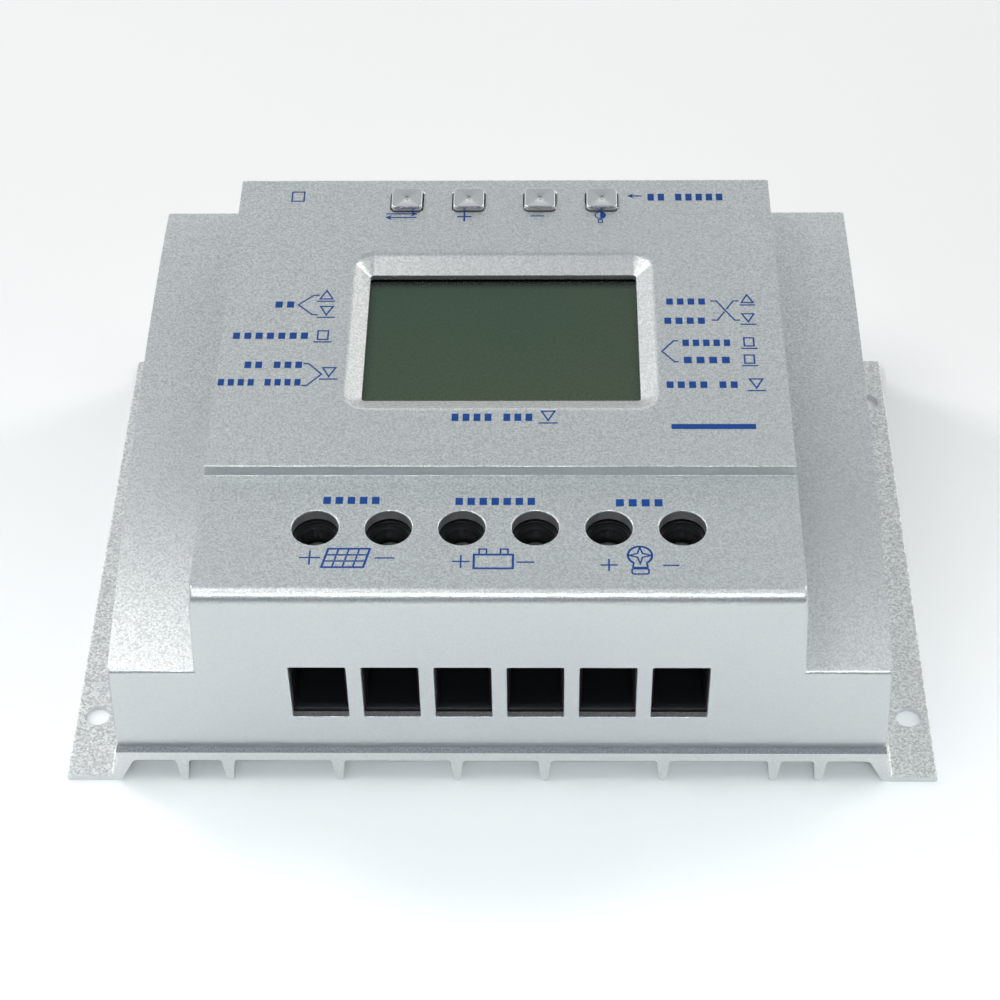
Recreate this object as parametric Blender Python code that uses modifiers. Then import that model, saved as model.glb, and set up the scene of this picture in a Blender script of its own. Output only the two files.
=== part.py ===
"""Solar charge controller, built from separate parts.

Frame: X across the front, +Y to the rear, +Z up. The origin is on the ground under the middle of the heat sink.
Lengths below are millimetres and angles are degrees; a mesh is scaled to metres when it is made.
"""
import math

import bmesh
import bpy
from mathutils import Vector

MM = 0.001
GAP = 0.3

# Terminals: six ways across the front.
PITCH = 16.0
WAY_X = [PITCH * (way - 2.5) for way in range(6)]
WAY_NAMES = ["solar_plus", "solar_minus", "battery_plus", "battery_minus", "load_plus", "load_minus"]
SCREW_Y = -48.5
DRIVER_HOLE_RADIUS = 5.1
SLOT_WIDTH = 12.6
SLOT_Z = (21.3, 38.3)

# Cover.
FRONT_Y = -68.5
REAR_Y = 69.0
LOW_TOP_Z = 61.9
HIGH_TOP_Z = 64.4
STEP_Y = -32.6
STEP_RUN = 0.45
FRONT_RADIUS = 2.3
REAR_RADIUS = 0.8
DRAFT = 0.053
WING_DRAFT = 0.046
BLOCK_HALF_WIDTH = 65.8
WING_HALF_WIDTH = 86.2
WING_FRONT_Z = 36.7
WING_CREST_Z = 55.0
WING_CREST_Y = 41.8
RIM_Z = 10.75
TOP_WALL = 2.6
SIDE_WALL = 2.2
FRONT_WALL = 1.6
EDGE_RADIUS = 0.7

# Heat sink.
SINK_HALF_LENGTH = 70.0
SINK_HALF_WIDTH = 99.8
PLATE_HALF_WIDTH = 87.4
PLATE_Z = (7.4, 9.9)
FLANGE_THICKNESS = 1.6
FLANGE_ROOT_X = 89.2
LEG_FOOT_X = 87.4
LEG_TOP_X = 83.7
FIN_X = [10.0, 37.0, 62.2, 72.65]
FIN_ROOT = 1.5
FIN_TIP = 0.8
FIN_TIP_Z = 0.2
MOUNT_HOLE_X = 95.0
MOUNT_HOLE_Y = (-52.3, 54.0)
MOUNT_HOLE_RADIUS = 2.9
GASKET_THICKNESS = 0.35
GASKET_WIDTHS = (4.0, 5.0)

# Display.
DISPLAY_Y = 13.4
DISH_HALF = (36.0, 27.3)
DISH_RADIUS = 5.0
WINDOW_HALF = (32.0, 21.9)
WINDOW_RADIUS = 0.8
DISH_DEPTH = 2.5
WINDOW_LIP_Z = 60.6
GLASS_HALF = (34.5, 24.5)
GLASS_Z = (57.4, 60.2)
BACKLIGHT_Z = (54.4, 57.1)
DISPLAY_BOARD_X = (-44.0, 44.0)
DISPLAY_BOARD_Y = (-24.0, 66.0)
DISPLAY_BOARD_Z = (52.3, 53.9)
DISPLAY_SCREW_X = 39.5
DISPLAY_SCREW_Y = [-20.0, 50.0]

# Buttons.
BUTTONS = [("cycle", -24.1), ("plus", -8.8), ("minus", 8.8), ("lamp", 24.1)]
BUTTON_Y = 60.45
CAP_HALF = (3.8, 3.75)
CAP_RISE = 1.25
CAP_RADIUS = 1.1
CAP_BEVEL = 0.5
CAP_DIMPLE = (0.9, 0.2)
STEM_HALF = 1.5
STEM_Z = 55.9
FLANGE_OUT = 0.8
FLANGE_Z = (60.6, 61.4)
SWITCH_HALF = 3.0
PLUNGER_HALF = 1.9
SWITCH_TOP_Z = 57.7

# Boards and what stands on them.
MAIN_BOARD_X = (-64.0, 64.0)
MAIN_BOARD_Y = (-65.0, 38.0)
MAIN_BOARD_Z = (16.4, 18.0)
BOARD_SCREW_X = 58.0
BOARD_SCREW_Y = [-60.0, 32.0]
TRANSISTOR_X = [-36.0, -12.0, 12.0, 36.0]
TRANSISTOR_Y = (46.0, 61.5)
TRANSISTOR_HALF = 5.0
TRANSISTOR_THICKNESS = 4.5
TAB_THICKNESS = 1.3
LEG_PITCH = 2.54
LEG_HALF = 0.45
CLAMP_HALF = 55.0
CLAMP_Y = (48.0, 54.0)
CLAMP_THICKNESS = 2.0
CAPACITOR_AT = (53.0, 4.0)
CAPACITOR_RADIUS = 9.0
CAPACITOR_TOP_Z = 49.8
INDUCTOR_AT = (-14.0, 12.0)
INDUCTOR_RING = 15.0
INDUCTOR_WIRE = 7.5
RIBBON_X = (12.0, 32.0)
RIBBON_Y = -20.0
RIBBON_BOW = 7.0
RIBBON_THICKNESS = 0.9

# Screws, and the posts and spacers they hold to. A head is (radius, height).
COVER_SCREW_X = 79.0
COVER_SCREW_Y = 57.0
COVER_SCREW_RADIUS = 1.4
COVER_SCREW_HEAD = (3.0, 1.7)
COVER_SCREW_TOP_Z = 22.0
COVER_POST_RADIUS = 4.0
COVER_POST_HOLE = 1.75
DISPLAY_SCREW_RADIUS = 1.1
DISPLAY_SCREW_HEAD = (2.2, 1.6)
DISPLAY_SCREW_TOP_Z = 58.5
DISPLAY_POST_RADIUS = 2.8
BOARD_SCREW_RADIUS = 1.4
BOARD_SCREW_HEAD = (2.8, 2.0)
BOARD_SCREW_TIP_Z = 8.4
SPACER_RADII = (1.9, 3.0)

# Terminal block, cages, bars and clamp screws.
BLOCK_HALF_LENGTH = 48.7
BLOCK_Y = (-66.6, -34.0)
BLOCK_Z = (18.3, 58.7)
CELL_HALF = 6.3
CELL_Y = (-57.0, -37.4)
CELL_Z = (22.8, 48.5)
FUNNEL_HALF = 5.6
FUNNEL_Z = (22.8, 37.0)
WELL_RADIUS = 3.85
HEAD_Z = (51.0, 54.0)
HEAD_RADIUS = 3.5
DRIVER_SLOT = (1.2, 1.3)
SHANK_RADIUS = 2.5
SHANK_END_Z = 36.0
CAGE_HALF = 5.9
CAGE_WALL = 1.0
CAGE_Y = (-55.0, -42.0)
CAGE_Z = (23.1, 38.8)
CAGE_FLOOR = 1.5
CAGE_ROOF = 3.0
BAR_HALF = 4.5
BAR_WAY_Y = (-40.4, -37.6)
BAR_Z = (34.0, 35.5)


# ---------------------------------------------------------------- scene and materials

def clear_scene():
    for item in list(bpy.data.objects):
        bpy.data.objects.remove(item, do_unlink=True)


def new_collection(name):
    group = bpy.data.collections.new(name)
    bpy.context.scene.collection.children.link(group)
    return group


def material(name, colour, metallic, roughness):
    surface = bpy.data.materials.new(name)
    surface.use_nodes = True
    shader = surface.node_tree.nodes["Principled BSDF"]
    shader.inputs["Base Color"].default_value = (*colour, 1.0)
    shader.inputs["Metallic"].default_value = metallic
    shader.inputs["Roughness"].default_value = roughness
    surface.diffuse_color = (*colour, 1.0)
    return surface


clear_scene()
PARTS = new_collection("charge_controller")
CUTTERS = new_collection("cutters")

LOOKS = {
    "cover_paint": ((0.46, 0.49, 0.51), 0.6, 0.4),
    "sink_metal": ((0.62, 0.64, 0.66), 0.7, 0.45),
    "gasket_foam": ((0.12, 0.13, 0.14), 0.0, 0.9),
    "display_glass": ((0.05, 0.09, 0.05), 0.0, 0.15),
    "backlight_plastic": ((0.75, 0.78, 0.7), 0.0, 0.5),
    "cap_plastic": ((0.5, 0.52, 0.54), 0.5, 0.3),
    "switch_plastic": ((0.03, 0.03, 0.03), 0.0, 0.5),
    "block_plastic": ((0.015, 0.015, 0.017), 0.0, 0.4),
    "cage_steel": ((0.45, 0.45, 0.44), 0.9, 0.35),
    "screw_steel": ((0.5, 0.5, 0.5), 0.9, 0.3),
    "bar_copper": ((0.7, 0.55, 0.4), 0.9, 0.35),
    "board_laminate": ((0.03, 0.16, 0.07), 0.0, 0.45),
    "spacer_brass": ((0.7, 0.55, 0.25), 0.9, 0.35),
    "transistor_epoxy": ((0.02, 0.02, 0.022), 0.0, 0.5),
    "clamp_steel": ((0.5, 0.5, 0.5), 0.9, 0.35),
    "pad_silicone": ((0.55, 0.57, 0.6), 0.0, 0.8),
    "capacitor_sleeve": ((0.02, 0.03, 0.08), 0.0, 0.35),
    "inductor_wire": ((0.6, 0.26, 0.12), 0.6, 0.35),
    "ribbon_vinyl": ((0.45, 0.46, 0.48), 0.0, 0.6),
}
MATERIALS = {name: material(name, *look) for name, look in LOOKS.items()}


# ---------------------------------------------------------------- making meshes

def make(name, bm, look=None, place=(0, 0, 0)):
    """Turn a millimetre bmesh into an object: a part when it has a look, and a hidden cutter when it hasn't."""
    bmesh.ops.recalc_face_normals(bm, faces=bm.faces)
    bmesh.ops.scale(bm, vec=Vector((MM, MM, MM)), verts=bm.verts)
    mesh = bpy.data.meshes.new(name)
    bm.to_mesh(mesh)
    bm.free()
    return place_mesh(name, mesh, look, place)


def place_mesh(name, mesh, look, place):
    item = bpy.data.objects.new(name, mesh)
    item.location = Vector(place) * MM
    if look is None:
        CUTTERS.objects.link(item)
        item.display_type = "WIRE"
        item.hide_render = True
    else:
        PARTS.objects.link(item)
        if not mesh.materials:
            mesh.materials.append(MATERIALS[look])
    return item


def boolean(item, other, operation="DIFFERENCE"):
    modifier = item.modifiers.new(other.name, "BOOLEAN")
    modifier.object = other
    modifier.operation = operation
    modifier.solver = "EXACT"


def add_box(bm, x, y, z):
    """A box between (low, high) pairs."""
    made = bmesh.ops.create_cube(bm, size=1.0)
    for vert in made["verts"]:
        for axis, (low, high) in enumerate((x, y, z)):
            vert.co[axis] = low if vert.co[axis] < 0 else high


def add_disc(bm, centre, radius, z, sides=16, top_radius=None):
    """An upright cylinder, or a cone where the top radius differs."""
    top_radius = radius if top_radius is None else top_radius
    middle = Vector((centre[0], centre[1], (z[0] + z[1]) / 2))
    made = bmesh.ops.create_cone(bm, cap_ends=True, segments=sides, radius1=radius, radius2=top_radius,
                                 depth=z[1] - z[0])
    bmesh.ops.translate(bm, vec=middle, verts=made["verts"])


def add_prism(bm, outline, span, axis):
    """Extrude an outline of two coordinates along the third, between the two ends of span.

    span holds two numbers, or two functions of an outline point where the ends slope.
    """
    def corner(point, end):
        along = end(point) if callable(end) else end
        coordinates = list(point)
        coordinates.insert(axis, along)
        return Vector(coordinates)

    face = bm.faces.new([bm.verts.new(corner(point, span[0])) for point in outline])
    start = list(face.verts)
    grown = bmesh.ops.extrude_face_region(bm, geom=[face])
    ends = [item for item in grown["geom"] if isinstance(item, bmesh.types.BMVert)]
    for vert in ends:
        nearest = min(start, key=lambda other: (other.co - vert.co).length)
        point = outline[start.index(nearest)]
        vert.co = corner(point, span[1])


def add_loft(bm, rings):
    """Skin a stack of rings of equal length and close both ends."""
    rows = [[bm.verts.new(point) for point in ring] for ring in rings]
    for lower, upper in zip(rows, rows[1:]):
        for index in range(len(lower)):
            following = (index + 1) % len(lower)
            bm.faces.new((lower[index], lower[following], upper[following], upper[index]))
    bm.faces.new(rows[0][::-1])
    bm.faces.new(rows[-1])


def rounded_ring(half_x, half_y, radius, z, centre=(0, 0), corner_steps=3):
    """A rectangle with round corners, as one ring of points at height z."""
    points = []
    for turn, (side_x, side_y) in enumerate(((1, 1), (-1, 1), (-1, -1), (1, -1))):
        for step in range(corner_steps + 1):
            angle = math.radians(90 * turn + 90 * step / corner_steps)
            x = centre[0] + side_x * (half_x - radius) + radius * math.cos(angle)
            y = centre[1] + side_y * (half_y - radius) + radius * math.sin(angle)
            points.append(Vector((x, y, z)))
    return points


def arc(centre, radius, start, end, steps):
    """Points on an arc, from the start angle to the end angle, in degrees."""
    angles = [math.radians(start + (end - start) * step / steps) for step in range(steps + 1)]
    return [(centre[0] + radius * math.cos(a), centre[1] + radius * math.sin(a)) for a in angles]


def round_edges(bm, chosen, radius, segments):
    edges = [edge for edge in bm.edges if chosen(edge)]
    bmesh.ops.bevel(bm, geom=edges, offset=radius, segments=segments, profile=0.5, affect="EDGES")


def turned(name, profile, look, place=(0, 0, 0), steps=16):
    """A turned piece: an outline of (radius, height), top to bottom, spun about Z by a Screw modifier."""
    bm = bmesh.new()
    verts = [bm.verts.new((radius, 0, height)) for radius, height in profile]
    for first, second in zip(verts, verts[1:]):
        bm.edges.new((first, second))
    item = make(name, bm, look, place)
    spin = item.modifiers.new("turn", "SCREW")
    spin.steps = steps
    spin.render_steps = steps
    spin.use_merge_vertices = True
    spin.merge_threshold = 0.00001
    return item


def mirrored(values):
    return [(side_x * values[0], side_y * values[1]) for side_x in (-1, 1) for side_y in (-1, 1)]


# ---------------------------------------------------------------- cover

def block_half(z):
    return BLOCK_HALF_WIDTH + DRAFT * (LOW_TOP_Z - z)


def wing_half(z):
    return WING_HALF_WIDTH + WING_DRAFT * (WING_FRONT_Z - z)


def wing_arc(inset, start_y, end_y, steps):
    """The wing's arched roof line: a circle that is level at the crest and meets the front wall's top."""
    rise = WING_CREST_Z - WING_FRONT_Z
    radius = ((WING_CREST_Y - FRONT_Y) ** 2 + rise ** 2) / (2 * rise)
    centre = (WING_CREST_Y, WING_CREST_Z - radius)
    reach = radius - inset
    first = 90 + math.degrees(math.asin((WING_CREST_Y - start_y) / reach))
    last = 90 - math.degrees(math.asin((end_y - WING_CREST_Y) / reach))
    return arc(centre, reach, first, last, steps)


def drafted(bm, outline, half_width, inset=0.0):
    """A (y, z) outline drawn out to both sides, each side leaning in by the mould's draft."""
    add_prism(bm, outline, (lambda p: inset - half_width(p[1]), lambda p: half_width(p[1]) - inset), 0)


def is_side_edge(edge):
    """True for the edges round a side face, apart from the one along the rim."""
    first, second = (vert.co for vert in edge.verts)
    return first.x * second.x > 0 and max(first.z, second.z) > RIM_Z + 1 and abs(first.x - second.x) < 5


def cover_block(bottom):
    bm = bmesh.new()
    round_front = arc((FRONT_Y + FRONT_RADIUS, LOW_TOP_Z - FRONT_RADIUS), FRONT_RADIUS, 180, 90, 4)
    round_rear = arc((REAR_Y - REAR_RADIUS, HIGH_TOP_Z - REAR_RADIUS), REAR_RADIUS, 90, 0, 2)
    step = [(STEP_Y, LOW_TOP_Z), (STEP_Y + STEP_RUN, HIGH_TOP_Z)]
    drafted(bm, [(FRONT_Y, bottom)] + round_front + step + round_rear + [(REAR_Y, bottom)], block_half)
    round_edges(bm, is_side_edge, EDGE_RADIUS, 2)
    return bm


def cover_wings(bottom):
    bm = bmesh.new()
    roof = wing_arc(0, FRONT_Y, REAR_Y, 14)
    drafted(bm, [(FRONT_Y, bottom)] + roof + [(REAR_Y, bottom)], wing_half)
    round_edges(bm, is_side_edge, EDGE_RADIUS, 2)
    return bm


def cover_cavity():
    """The room inside the cover, less the posts and the display frame, which stay solid."""
    below = RIM_Z - 5
    front, rear = FRONT_Y + FRONT_WALL, REAR_Y - SIDE_WALL
    low, high = LOW_TOP_Z - TOP_WALL, HIGH_TOP_Z - TOP_WALL
    step = [(front, low), (STEP_Y + TOP_WALL, low), (STEP_Y + TOP_WALL + STEP_RUN, high), (rear, high)]
    bm = bmesh.new()
    drafted(bm, [(front, below)] + step + [(rear, below)], block_half, SIDE_WALL)
    cavity = make("cavity", bm)

    bm = bmesh.new()
    roof = wing_arc(SIDE_WALL, front + 0.1, rear - 0.1, 14)
    drafted(bm, [(front + 0.1, below - 1)] + roof + [(rear - 0.1, below - 1)], wing_half, SIDE_WALL)
    boolean(cavity, make("cavity_wings", bm), "UNION")

    bm = bmesh.new()
    for centre in mirrored((COVER_SCREW_X, COVER_SCREW_Y)):
        add_disc(bm, centre, COVER_POST_RADIUS, (below - 3, HIGH_TOP_Z + 5))
    for x in (-DISPLAY_SCREW_X, DISPLAY_SCREW_X):
        for y in DISPLAY_SCREW_Y:
            add_disc(bm, (x, y), DISPLAY_POST_RADIUS, (DISPLAY_BOARD_Z[1] + GAP, HIGH_TOP_Z + 5), 12)
    boolean(cavity, make("posts", bm))

    frame_half = (WINDOW_HALF[0] + 4.2, WINDOW_HALF[1] + 6.0)
    bm = bmesh.new()
    add_box(bm, (-frame_half[0], frame_half[0]), (DISPLAY_Y - frame_half[1], DISPLAY_Y + frame_half[1]),
            (WINDOW_LIP_Z, HIGH_TOP_Z + 5))
    boolean(cavity, make("window_frame", bm))
    return cavity


def cover_openings():
    """Display dish and window, button openings, driver holes, wire slots and screw holes."""
    bm = bmesh.new()
    centre = (0, DISPLAY_Y)
    floor = HIGH_TOP_Z - DISH_DEPTH
    slope = [(DISH_HALF[i] - WINDOW_HALF[i]) / DISH_DEPTH for i in range(2)]
    above = [DISH_HALF[i] + slope[i] for i in range(2)]
    add_loft(bm, [rounded_ring(*WINDOW_HALF, WINDOW_RADIUS, WINDOW_LIP_Z - 2, centre, 4),
                  rounded_ring(*WINDOW_HALF, WINDOW_RADIUS, floor, centre, 4),
                  rounded_ring(*DISH_HALF, DISH_RADIUS, HIGH_TOP_Z, centre, 4),
                  rounded_ring(*above, DISH_RADIUS + 2, HIGH_TOP_Z + 1, centre, 4)])
    opening = [half + GAP for half in CAP_HALF]
    for _, x in BUTTONS:
        add_loft(bm, [rounded_ring(*opening, CAP_RADIUS + GAP, z, (x, BUTTON_Y))
                      for z in (HIGH_TOP_Z - TOP_WALL - 1, HIGH_TOP_Z + 1)])
    for x in WAY_X:
        add_disc(bm, (x, SCREW_Y), DRIVER_HOLE_RADIUS, (LOW_TOP_Z - TOP_WALL - 1, LOW_TOP_Z + 1), 24)
        add_box(bm, (x - SLOT_WIDTH / 2, x + SLOT_WIDTH / 2), (FRONT_Y - 2, FRONT_Y + FRONT_WALL + 1), SLOT_Z)
    for spot in mirrored((COVER_SCREW_X, COVER_SCREW_Y)):
        add_disc(bm, spot, COVER_POST_HOLE, (RIM_Z - 5, COVER_SCREW_TOP_Z + 2), 12)
    for x in (-DISPLAY_SCREW_X, DISPLAY_SCREW_X):
        for y in DISPLAY_SCREW_Y:
            add_disc(bm, (x, y), DISPLAY_SCREW_RADIUS + GAP, (DISPLAY_BOARD_Z[0], DISPLAY_SCREW_TOP_Z + 1), 8)
    return make("openings", bm)


def top_cover():
    cover = make("top_cover", cover_block(RIM_Z), "cover_paint")
    boolean(cover, make("wings", cover_wings(RIM_Z)), "UNION")
    boolean(cover, cover_cavity())
    boolean(cover, cover_openings())


# ---------------------------------------------------------------- heat sink and gasket

def fin(x):
    """Outline of one fin, down its left side, round the tip and up its right side."""
    tip = arc((x, FIN_TIP_Z + FIN_TIP), FIN_TIP, 180, 360, 4)
    return [(x - FIN_ROOT, PLATE_Z[0])] + tip + [(x + FIN_ROOT, PLATE_Z[0])]


def heat_sink():
    under, over = PLATE_Z
    corner = FLANGE_THICKNESS
    right = [(LEG_TOP_X, under), (LEG_FOOT_X, 0), (SINK_HALF_WIDTH - 0.3, 0), (SINK_HALF_WIDTH, 0.3),
             (SINK_HALF_WIDTH, corner - 0.3), (SINK_HALF_WIDTH - 0.3, corner), (FLANGE_ROOT_X, corner),
             (PLATE_HALF_WIDTH, under), (PLATE_HALF_WIDTH, over)]
    left = [(-x, z) for x, z in reversed(right)]
    fins = []
    for x in sorted(FIN_X + [-x for x in FIN_X]):
        fins += fin(x)
    bm = bmesh.new()
    add_prism(bm, left + fins + right, (-SINK_HALF_LENGTH, SINK_HALF_LENGTH), 1)
    sink = make("heat_sink", bm, "sink_metal")

    bm = bmesh.new()
    for spot in [(x, y) for x in (-MOUNT_HOLE_X, MOUNT_HOLE_X) for y in MOUNT_HOLE_Y]:
        add_disc(bm, spot, MOUNT_HOLE_RADIUS, (-1, FLANGE_THICKNESS + 1), 24)
    hole = COVER_SCREW_RADIUS + 0.4
    head, sunk = COVER_SCREW_HEAD
    for spot in mirrored((COVER_SCREW_X, COVER_SCREW_Y)):
        add_disc(bm, spot, head + 0.9, (under - 0.5, under + sunk - 0.1), 12, hole)
    for x in (-BOARD_SCREW_X, BOARD_SCREW_X):
        for y in BOARD_SCREW_Y:
            add_disc(bm, (x, y), BOARD_SCREW_RADIUS + 0.4, (BOARD_SCREW_TIP_Z - 0.4, over + 1), 12)
    boolean(sink, make("sink_holes", bm))

    bm = bmesh.new()
    for spot in mirrored((COVER_SCREW_X, COVER_SCREW_Y)):
        add_disc(bm, spot, hole, (under + 1, over + 1), 12)
    boolean(sink, make("sink_screw_holes", bm))


def base_gasket():
    z = (RIM_Z - 0.25 - GASKET_THICKNESS, RIM_Z - 0.25)
    outer = (PLATE_HALF_WIDTH, SINK_HALF_LENGTH)
    inner = [half - width for half, width in zip(outer, GASKET_WIDTHS)]
    bm = bmesh.new()
    add_box(bm, (-outer[0], outer[0]), (-outer[1], outer[1]), z)
    gasket = make("base_gasket", bm, "gasket_foam")
    bm = bmesh.new()
    add_box(bm, (-inner[0], inner[0]), (-inner[1], inner[1]), (z[0] - 1, z[1] + 1))
    boolean(gasket, make("gasket_middle", bm))


# ---------------------------------------------------------------- display and buttons

def display():
    bm = bmesh.new()
    add_loft(bm, [rounded_ring(*GLASS_HALF, 0.5, z, (0, DISPLAY_Y), 1) for z in GLASS_Z])
    make("lcd_glass", bm, "display_glass")

    bm = bmesh.new()
    add_box(bm, (-GLASS_HALF[0], GLASS_HALF[0]), (DISPLAY_Y - GLASS_HALF[1], DISPLAY_Y + GLASS_HALF[1]),
            BACKLIGHT_Z)
    make("lcd_backlight", bm, "backlight_plastic")

    bm = bmesh.new()
    add_box(bm, DISPLAY_BOARD_X, DISPLAY_BOARD_Y, DISPLAY_BOARD_Z)
    board = make("display_board", bm, "board_laminate")
    bm = bmesh.new()
    for x in (-DISPLAY_SCREW_X, DISPLAY_SCREW_X):
        for y in DISPLAY_SCREW_Y:
            add_disc(bm, (x, y), DISPLAY_SCREW_RADIUS + GAP, (DISPLAY_BOARD_Z[0] - 1, DISPLAY_BOARD_Z[1] + 1), 8)
    boolean(board, make("display_board_holes", bm))

    under = DISPLAY_BOARD_Z[0] - GAP
    head, tall = DISPLAY_SCREW_HEAD
    profile = [(0, DISPLAY_SCREW_TOP_Z), (DISPLAY_SCREW_RADIUS, DISPLAY_SCREW_TOP_Z),
               (DISPLAY_SCREW_RADIUS, under), (head, under), (head, under - tall), (0, under - tall)]
    names = ["front_left", "front_right", "rear_left", "rear_right"]
    spots = [(side * DISPLAY_SCREW_X, y) for y in DISPLAY_SCREW_Y for side in (-1, 1)]
    for name, (x, y) in zip(names, spots):
        turned("display_screw_" + name, profile, "screw_steel", (x, y, 0), 10)


def button_caps():
    """Stem, retaining flange and cap as one stack of rounded squares; its origin is on the slide's axis.

    Each ring is (half width, half depth, corner radius, height).
    """
    stem = (STEM_HALF, STEM_HALF, STEM_HALF - 0.1)
    flange = (CAP_HALF[0] + FLANGE_OUT, CAP_HALF[1] + FLANGE_OUT, CAP_RADIUS + GAP)
    cap = (*CAP_HALF, CAP_RADIUS)
    top = HIGH_TOP_Z + CAP_RISE
    softened = CAP_BEVEL * 0.7
    face = [half - CAP_BEVEL for half in CAP_HALF]
    dimple, depth = CAP_DIMPLE
    outline = [(*stem, STEM_Z), (*stem, FLANGE_Z[0]), (*flange, FLANGE_Z[0]), (*flange, FLANGE_Z[1]),
               (*cap, FLANGE_Z[1]), (*cap, top - CAP_BEVEL),
               (CAP_HALF[0] - softened, CAP_HALF[1] - softened, CAP_RADIUS - softened, top - CAP_BEVEL + softened),
               (*face, CAP_RADIUS - CAP_BEVEL, top),
               (dimple, dimple, dimple - 0.1, top), (0.25, 0.25, 0.2, top - depth)]
    for name, x in BUTTONS:
        bm = bmesh.new()
        add_loft(bm, [rounded_ring(a, b, radius, z - HIGH_TOP_Z, (0, 0), 3) for a, b, radius, z in outline])
        make(name + "_button", bm, "cap_plastic", (x, BUTTON_Y, HIGH_TOP_Z))


def switches():
    """Push switches, each with the well that a button's stem reaches into."""
    low = DISPLAY_BOARD_Z[1] + GAP
    body = (SWITCH_HALF, SWITCH_HALF, 0.4)
    well = (PLUNGER_HALF, PLUNGER_HALF, PLUNGER_HALF - 0.1)
    outline = [(*body, low), (*body, SWITCH_TOP_Z), (*well, SWITCH_TOP_Z), (*well, low + 0.7)]
    for name, x in BUTTONS:
        bm = bmesh.new()
        add_loft(bm, [rounded_ring(a, b, radius, z, (x, BUTTON_Y)) for a, b, radius, z in outline])
        make(name + "_switch", bm, "switch_plastic")


# ---------------------------------------------------------------- terminals

def terminal_block():
    bm = bmesh.new()
    add_box(bm, (-BLOCK_HALF_LENGTH, BLOCK_HALF_LENGTH), BLOCK_Y, BLOCK_Z)
    block = make("terminal_block", bm, "block_plastic")

    bm = bmesh.new()
    for x in WAY_X:
        add_box(bm, (x - CELL_HALF, x + CELL_HALF), CELL_Y, CELL_Z)
    boolean(block, make("cells", bm))

    bm = bmesh.new()
    for x in WAY_X:
        add_box(bm, (x - FUNNEL_HALF, x + FUNNEL_HALF), (BLOCK_Y[0] - 1, CELL_Y[0] + 1), FUNNEL_Z)
    boolean(block, make("funnels", bm))

    bm = bmesh.new()
    for x in WAY_X:
        add_disc(bm, (x, SCREW_Y), WELL_RADIUS, (HEAD_Z[0] - GAP, BLOCK_Z[1] + 1), 12)
    boolean(block, make("wells", bm))

    bm = bmesh.new()
    for x in WAY_X:
        add_disc(bm, (x, SCREW_Y), SHANK_RADIUS + GAP, (CELL_Z[1] - 1, HEAD_Z[0]), 12)
    boolean(block, make("shank_ways", bm))

    bm = bmesh.new()
    for x in WAY_X:
        add_box(bm, (x - BAR_HALF - GAP, x + BAR_HALF + GAP), BAR_WAY_Y, (BLOCK_Z[0] - 1, CELL_Z[0] + 1))
    boolean(block, make("bar_ways", bm))


def wire_cages():
    for name, x in zip(WAY_NAMES, WAY_X):
        bm = bmesh.new()
        add_box(bm, (-CAGE_HALF, CAGE_HALF), [y - SCREW_Y for y in CAGE_Y], CAGE_Z)
        cage = make("wire_cage_" + name, bm, "cage_steel", (x, SCREW_Y, 0))
        bm = bmesh.new()
        inner = CAGE_HALF - CAGE_WALL
        add_box(bm, (-inner, inner), [(y - SCREW_Y) * 1.2 for y in CAGE_Y],
                (CAGE_Z[0] + CAGE_FLOOR, CAGE_Z[1] - CAGE_ROOF))
        boolean(cage, make("cage_throat_" + name, bm, None, (x, SCREW_Y, 0)))
        bm = bmesh.new()
        add_disc(bm, (0, 0), SHANK_RADIUS + GAP, (CAGE_Z[1] - CAGE_ROOF - 1, CAGE_Z[1] + 1), 16)
        boolean(cage, make("cage_thread_" + name, bm, None, (x, SCREW_Y, 0)))


def contact_bars():
    rear = CELL_Y[1] - 1.0
    thick = BAR_Z[1] - BAR_Z[0]
    outline = [(CAGE_Y[0] - 0.5, BAR_Z[0]), (rear - thick, BAR_Z[0]), (rear - thick, MAIN_BOARD_Z[1] + 0.6),
               (rear, MAIN_BOARD_Z[1] + 0.6), (rear, BAR_Z[1]), (CAGE_Y[0] - 0.5, BAR_Z[1])]
    for name, x in zip(WAY_NAMES, WAY_X):
        bm = bmesh.new()
        add_prism(bm, outline, (x - BAR_HALF, x + BAR_HALF), 0)
        make("contact_bar_" + name, bm, "bar_copper")


def clamp_screws():
    low, high = HEAD_Z
    width, depth = DRIVER_SLOT
    profile = [(0, high), (HEAD_RADIUS - 0.3, high), (HEAD_RADIUS, high - 0.3), (HEAD_RADIUS, low),
               (SHANK_RADIUS, low), (SHANK_RADIUS, SHANK_END_Z + 0.6), (SHANK_RADIUS - 0.6, SHANK_END_Z),
               (0, SHANK_END_Z)]
    for name, x in zip(WAY_NAMES, WAY_X):
        screw = turned("clamp_screw_" + name, profile, "screw_steel", (x, SCREW_Y, 0), 16)
        bm = bmesh.new()
        add_box(bm, (-HEAD_RADIUS - 1, HEAD_RADIUS + 1), (-width / 2, width / 2), (high - depth, high + 1))
        boolean(screw, make("driver_slot_" + name, bm, None, (x, SCREW_Y, 0)))


# ---------------------------------------------------------------- boards, power parts and fasteners

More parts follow.
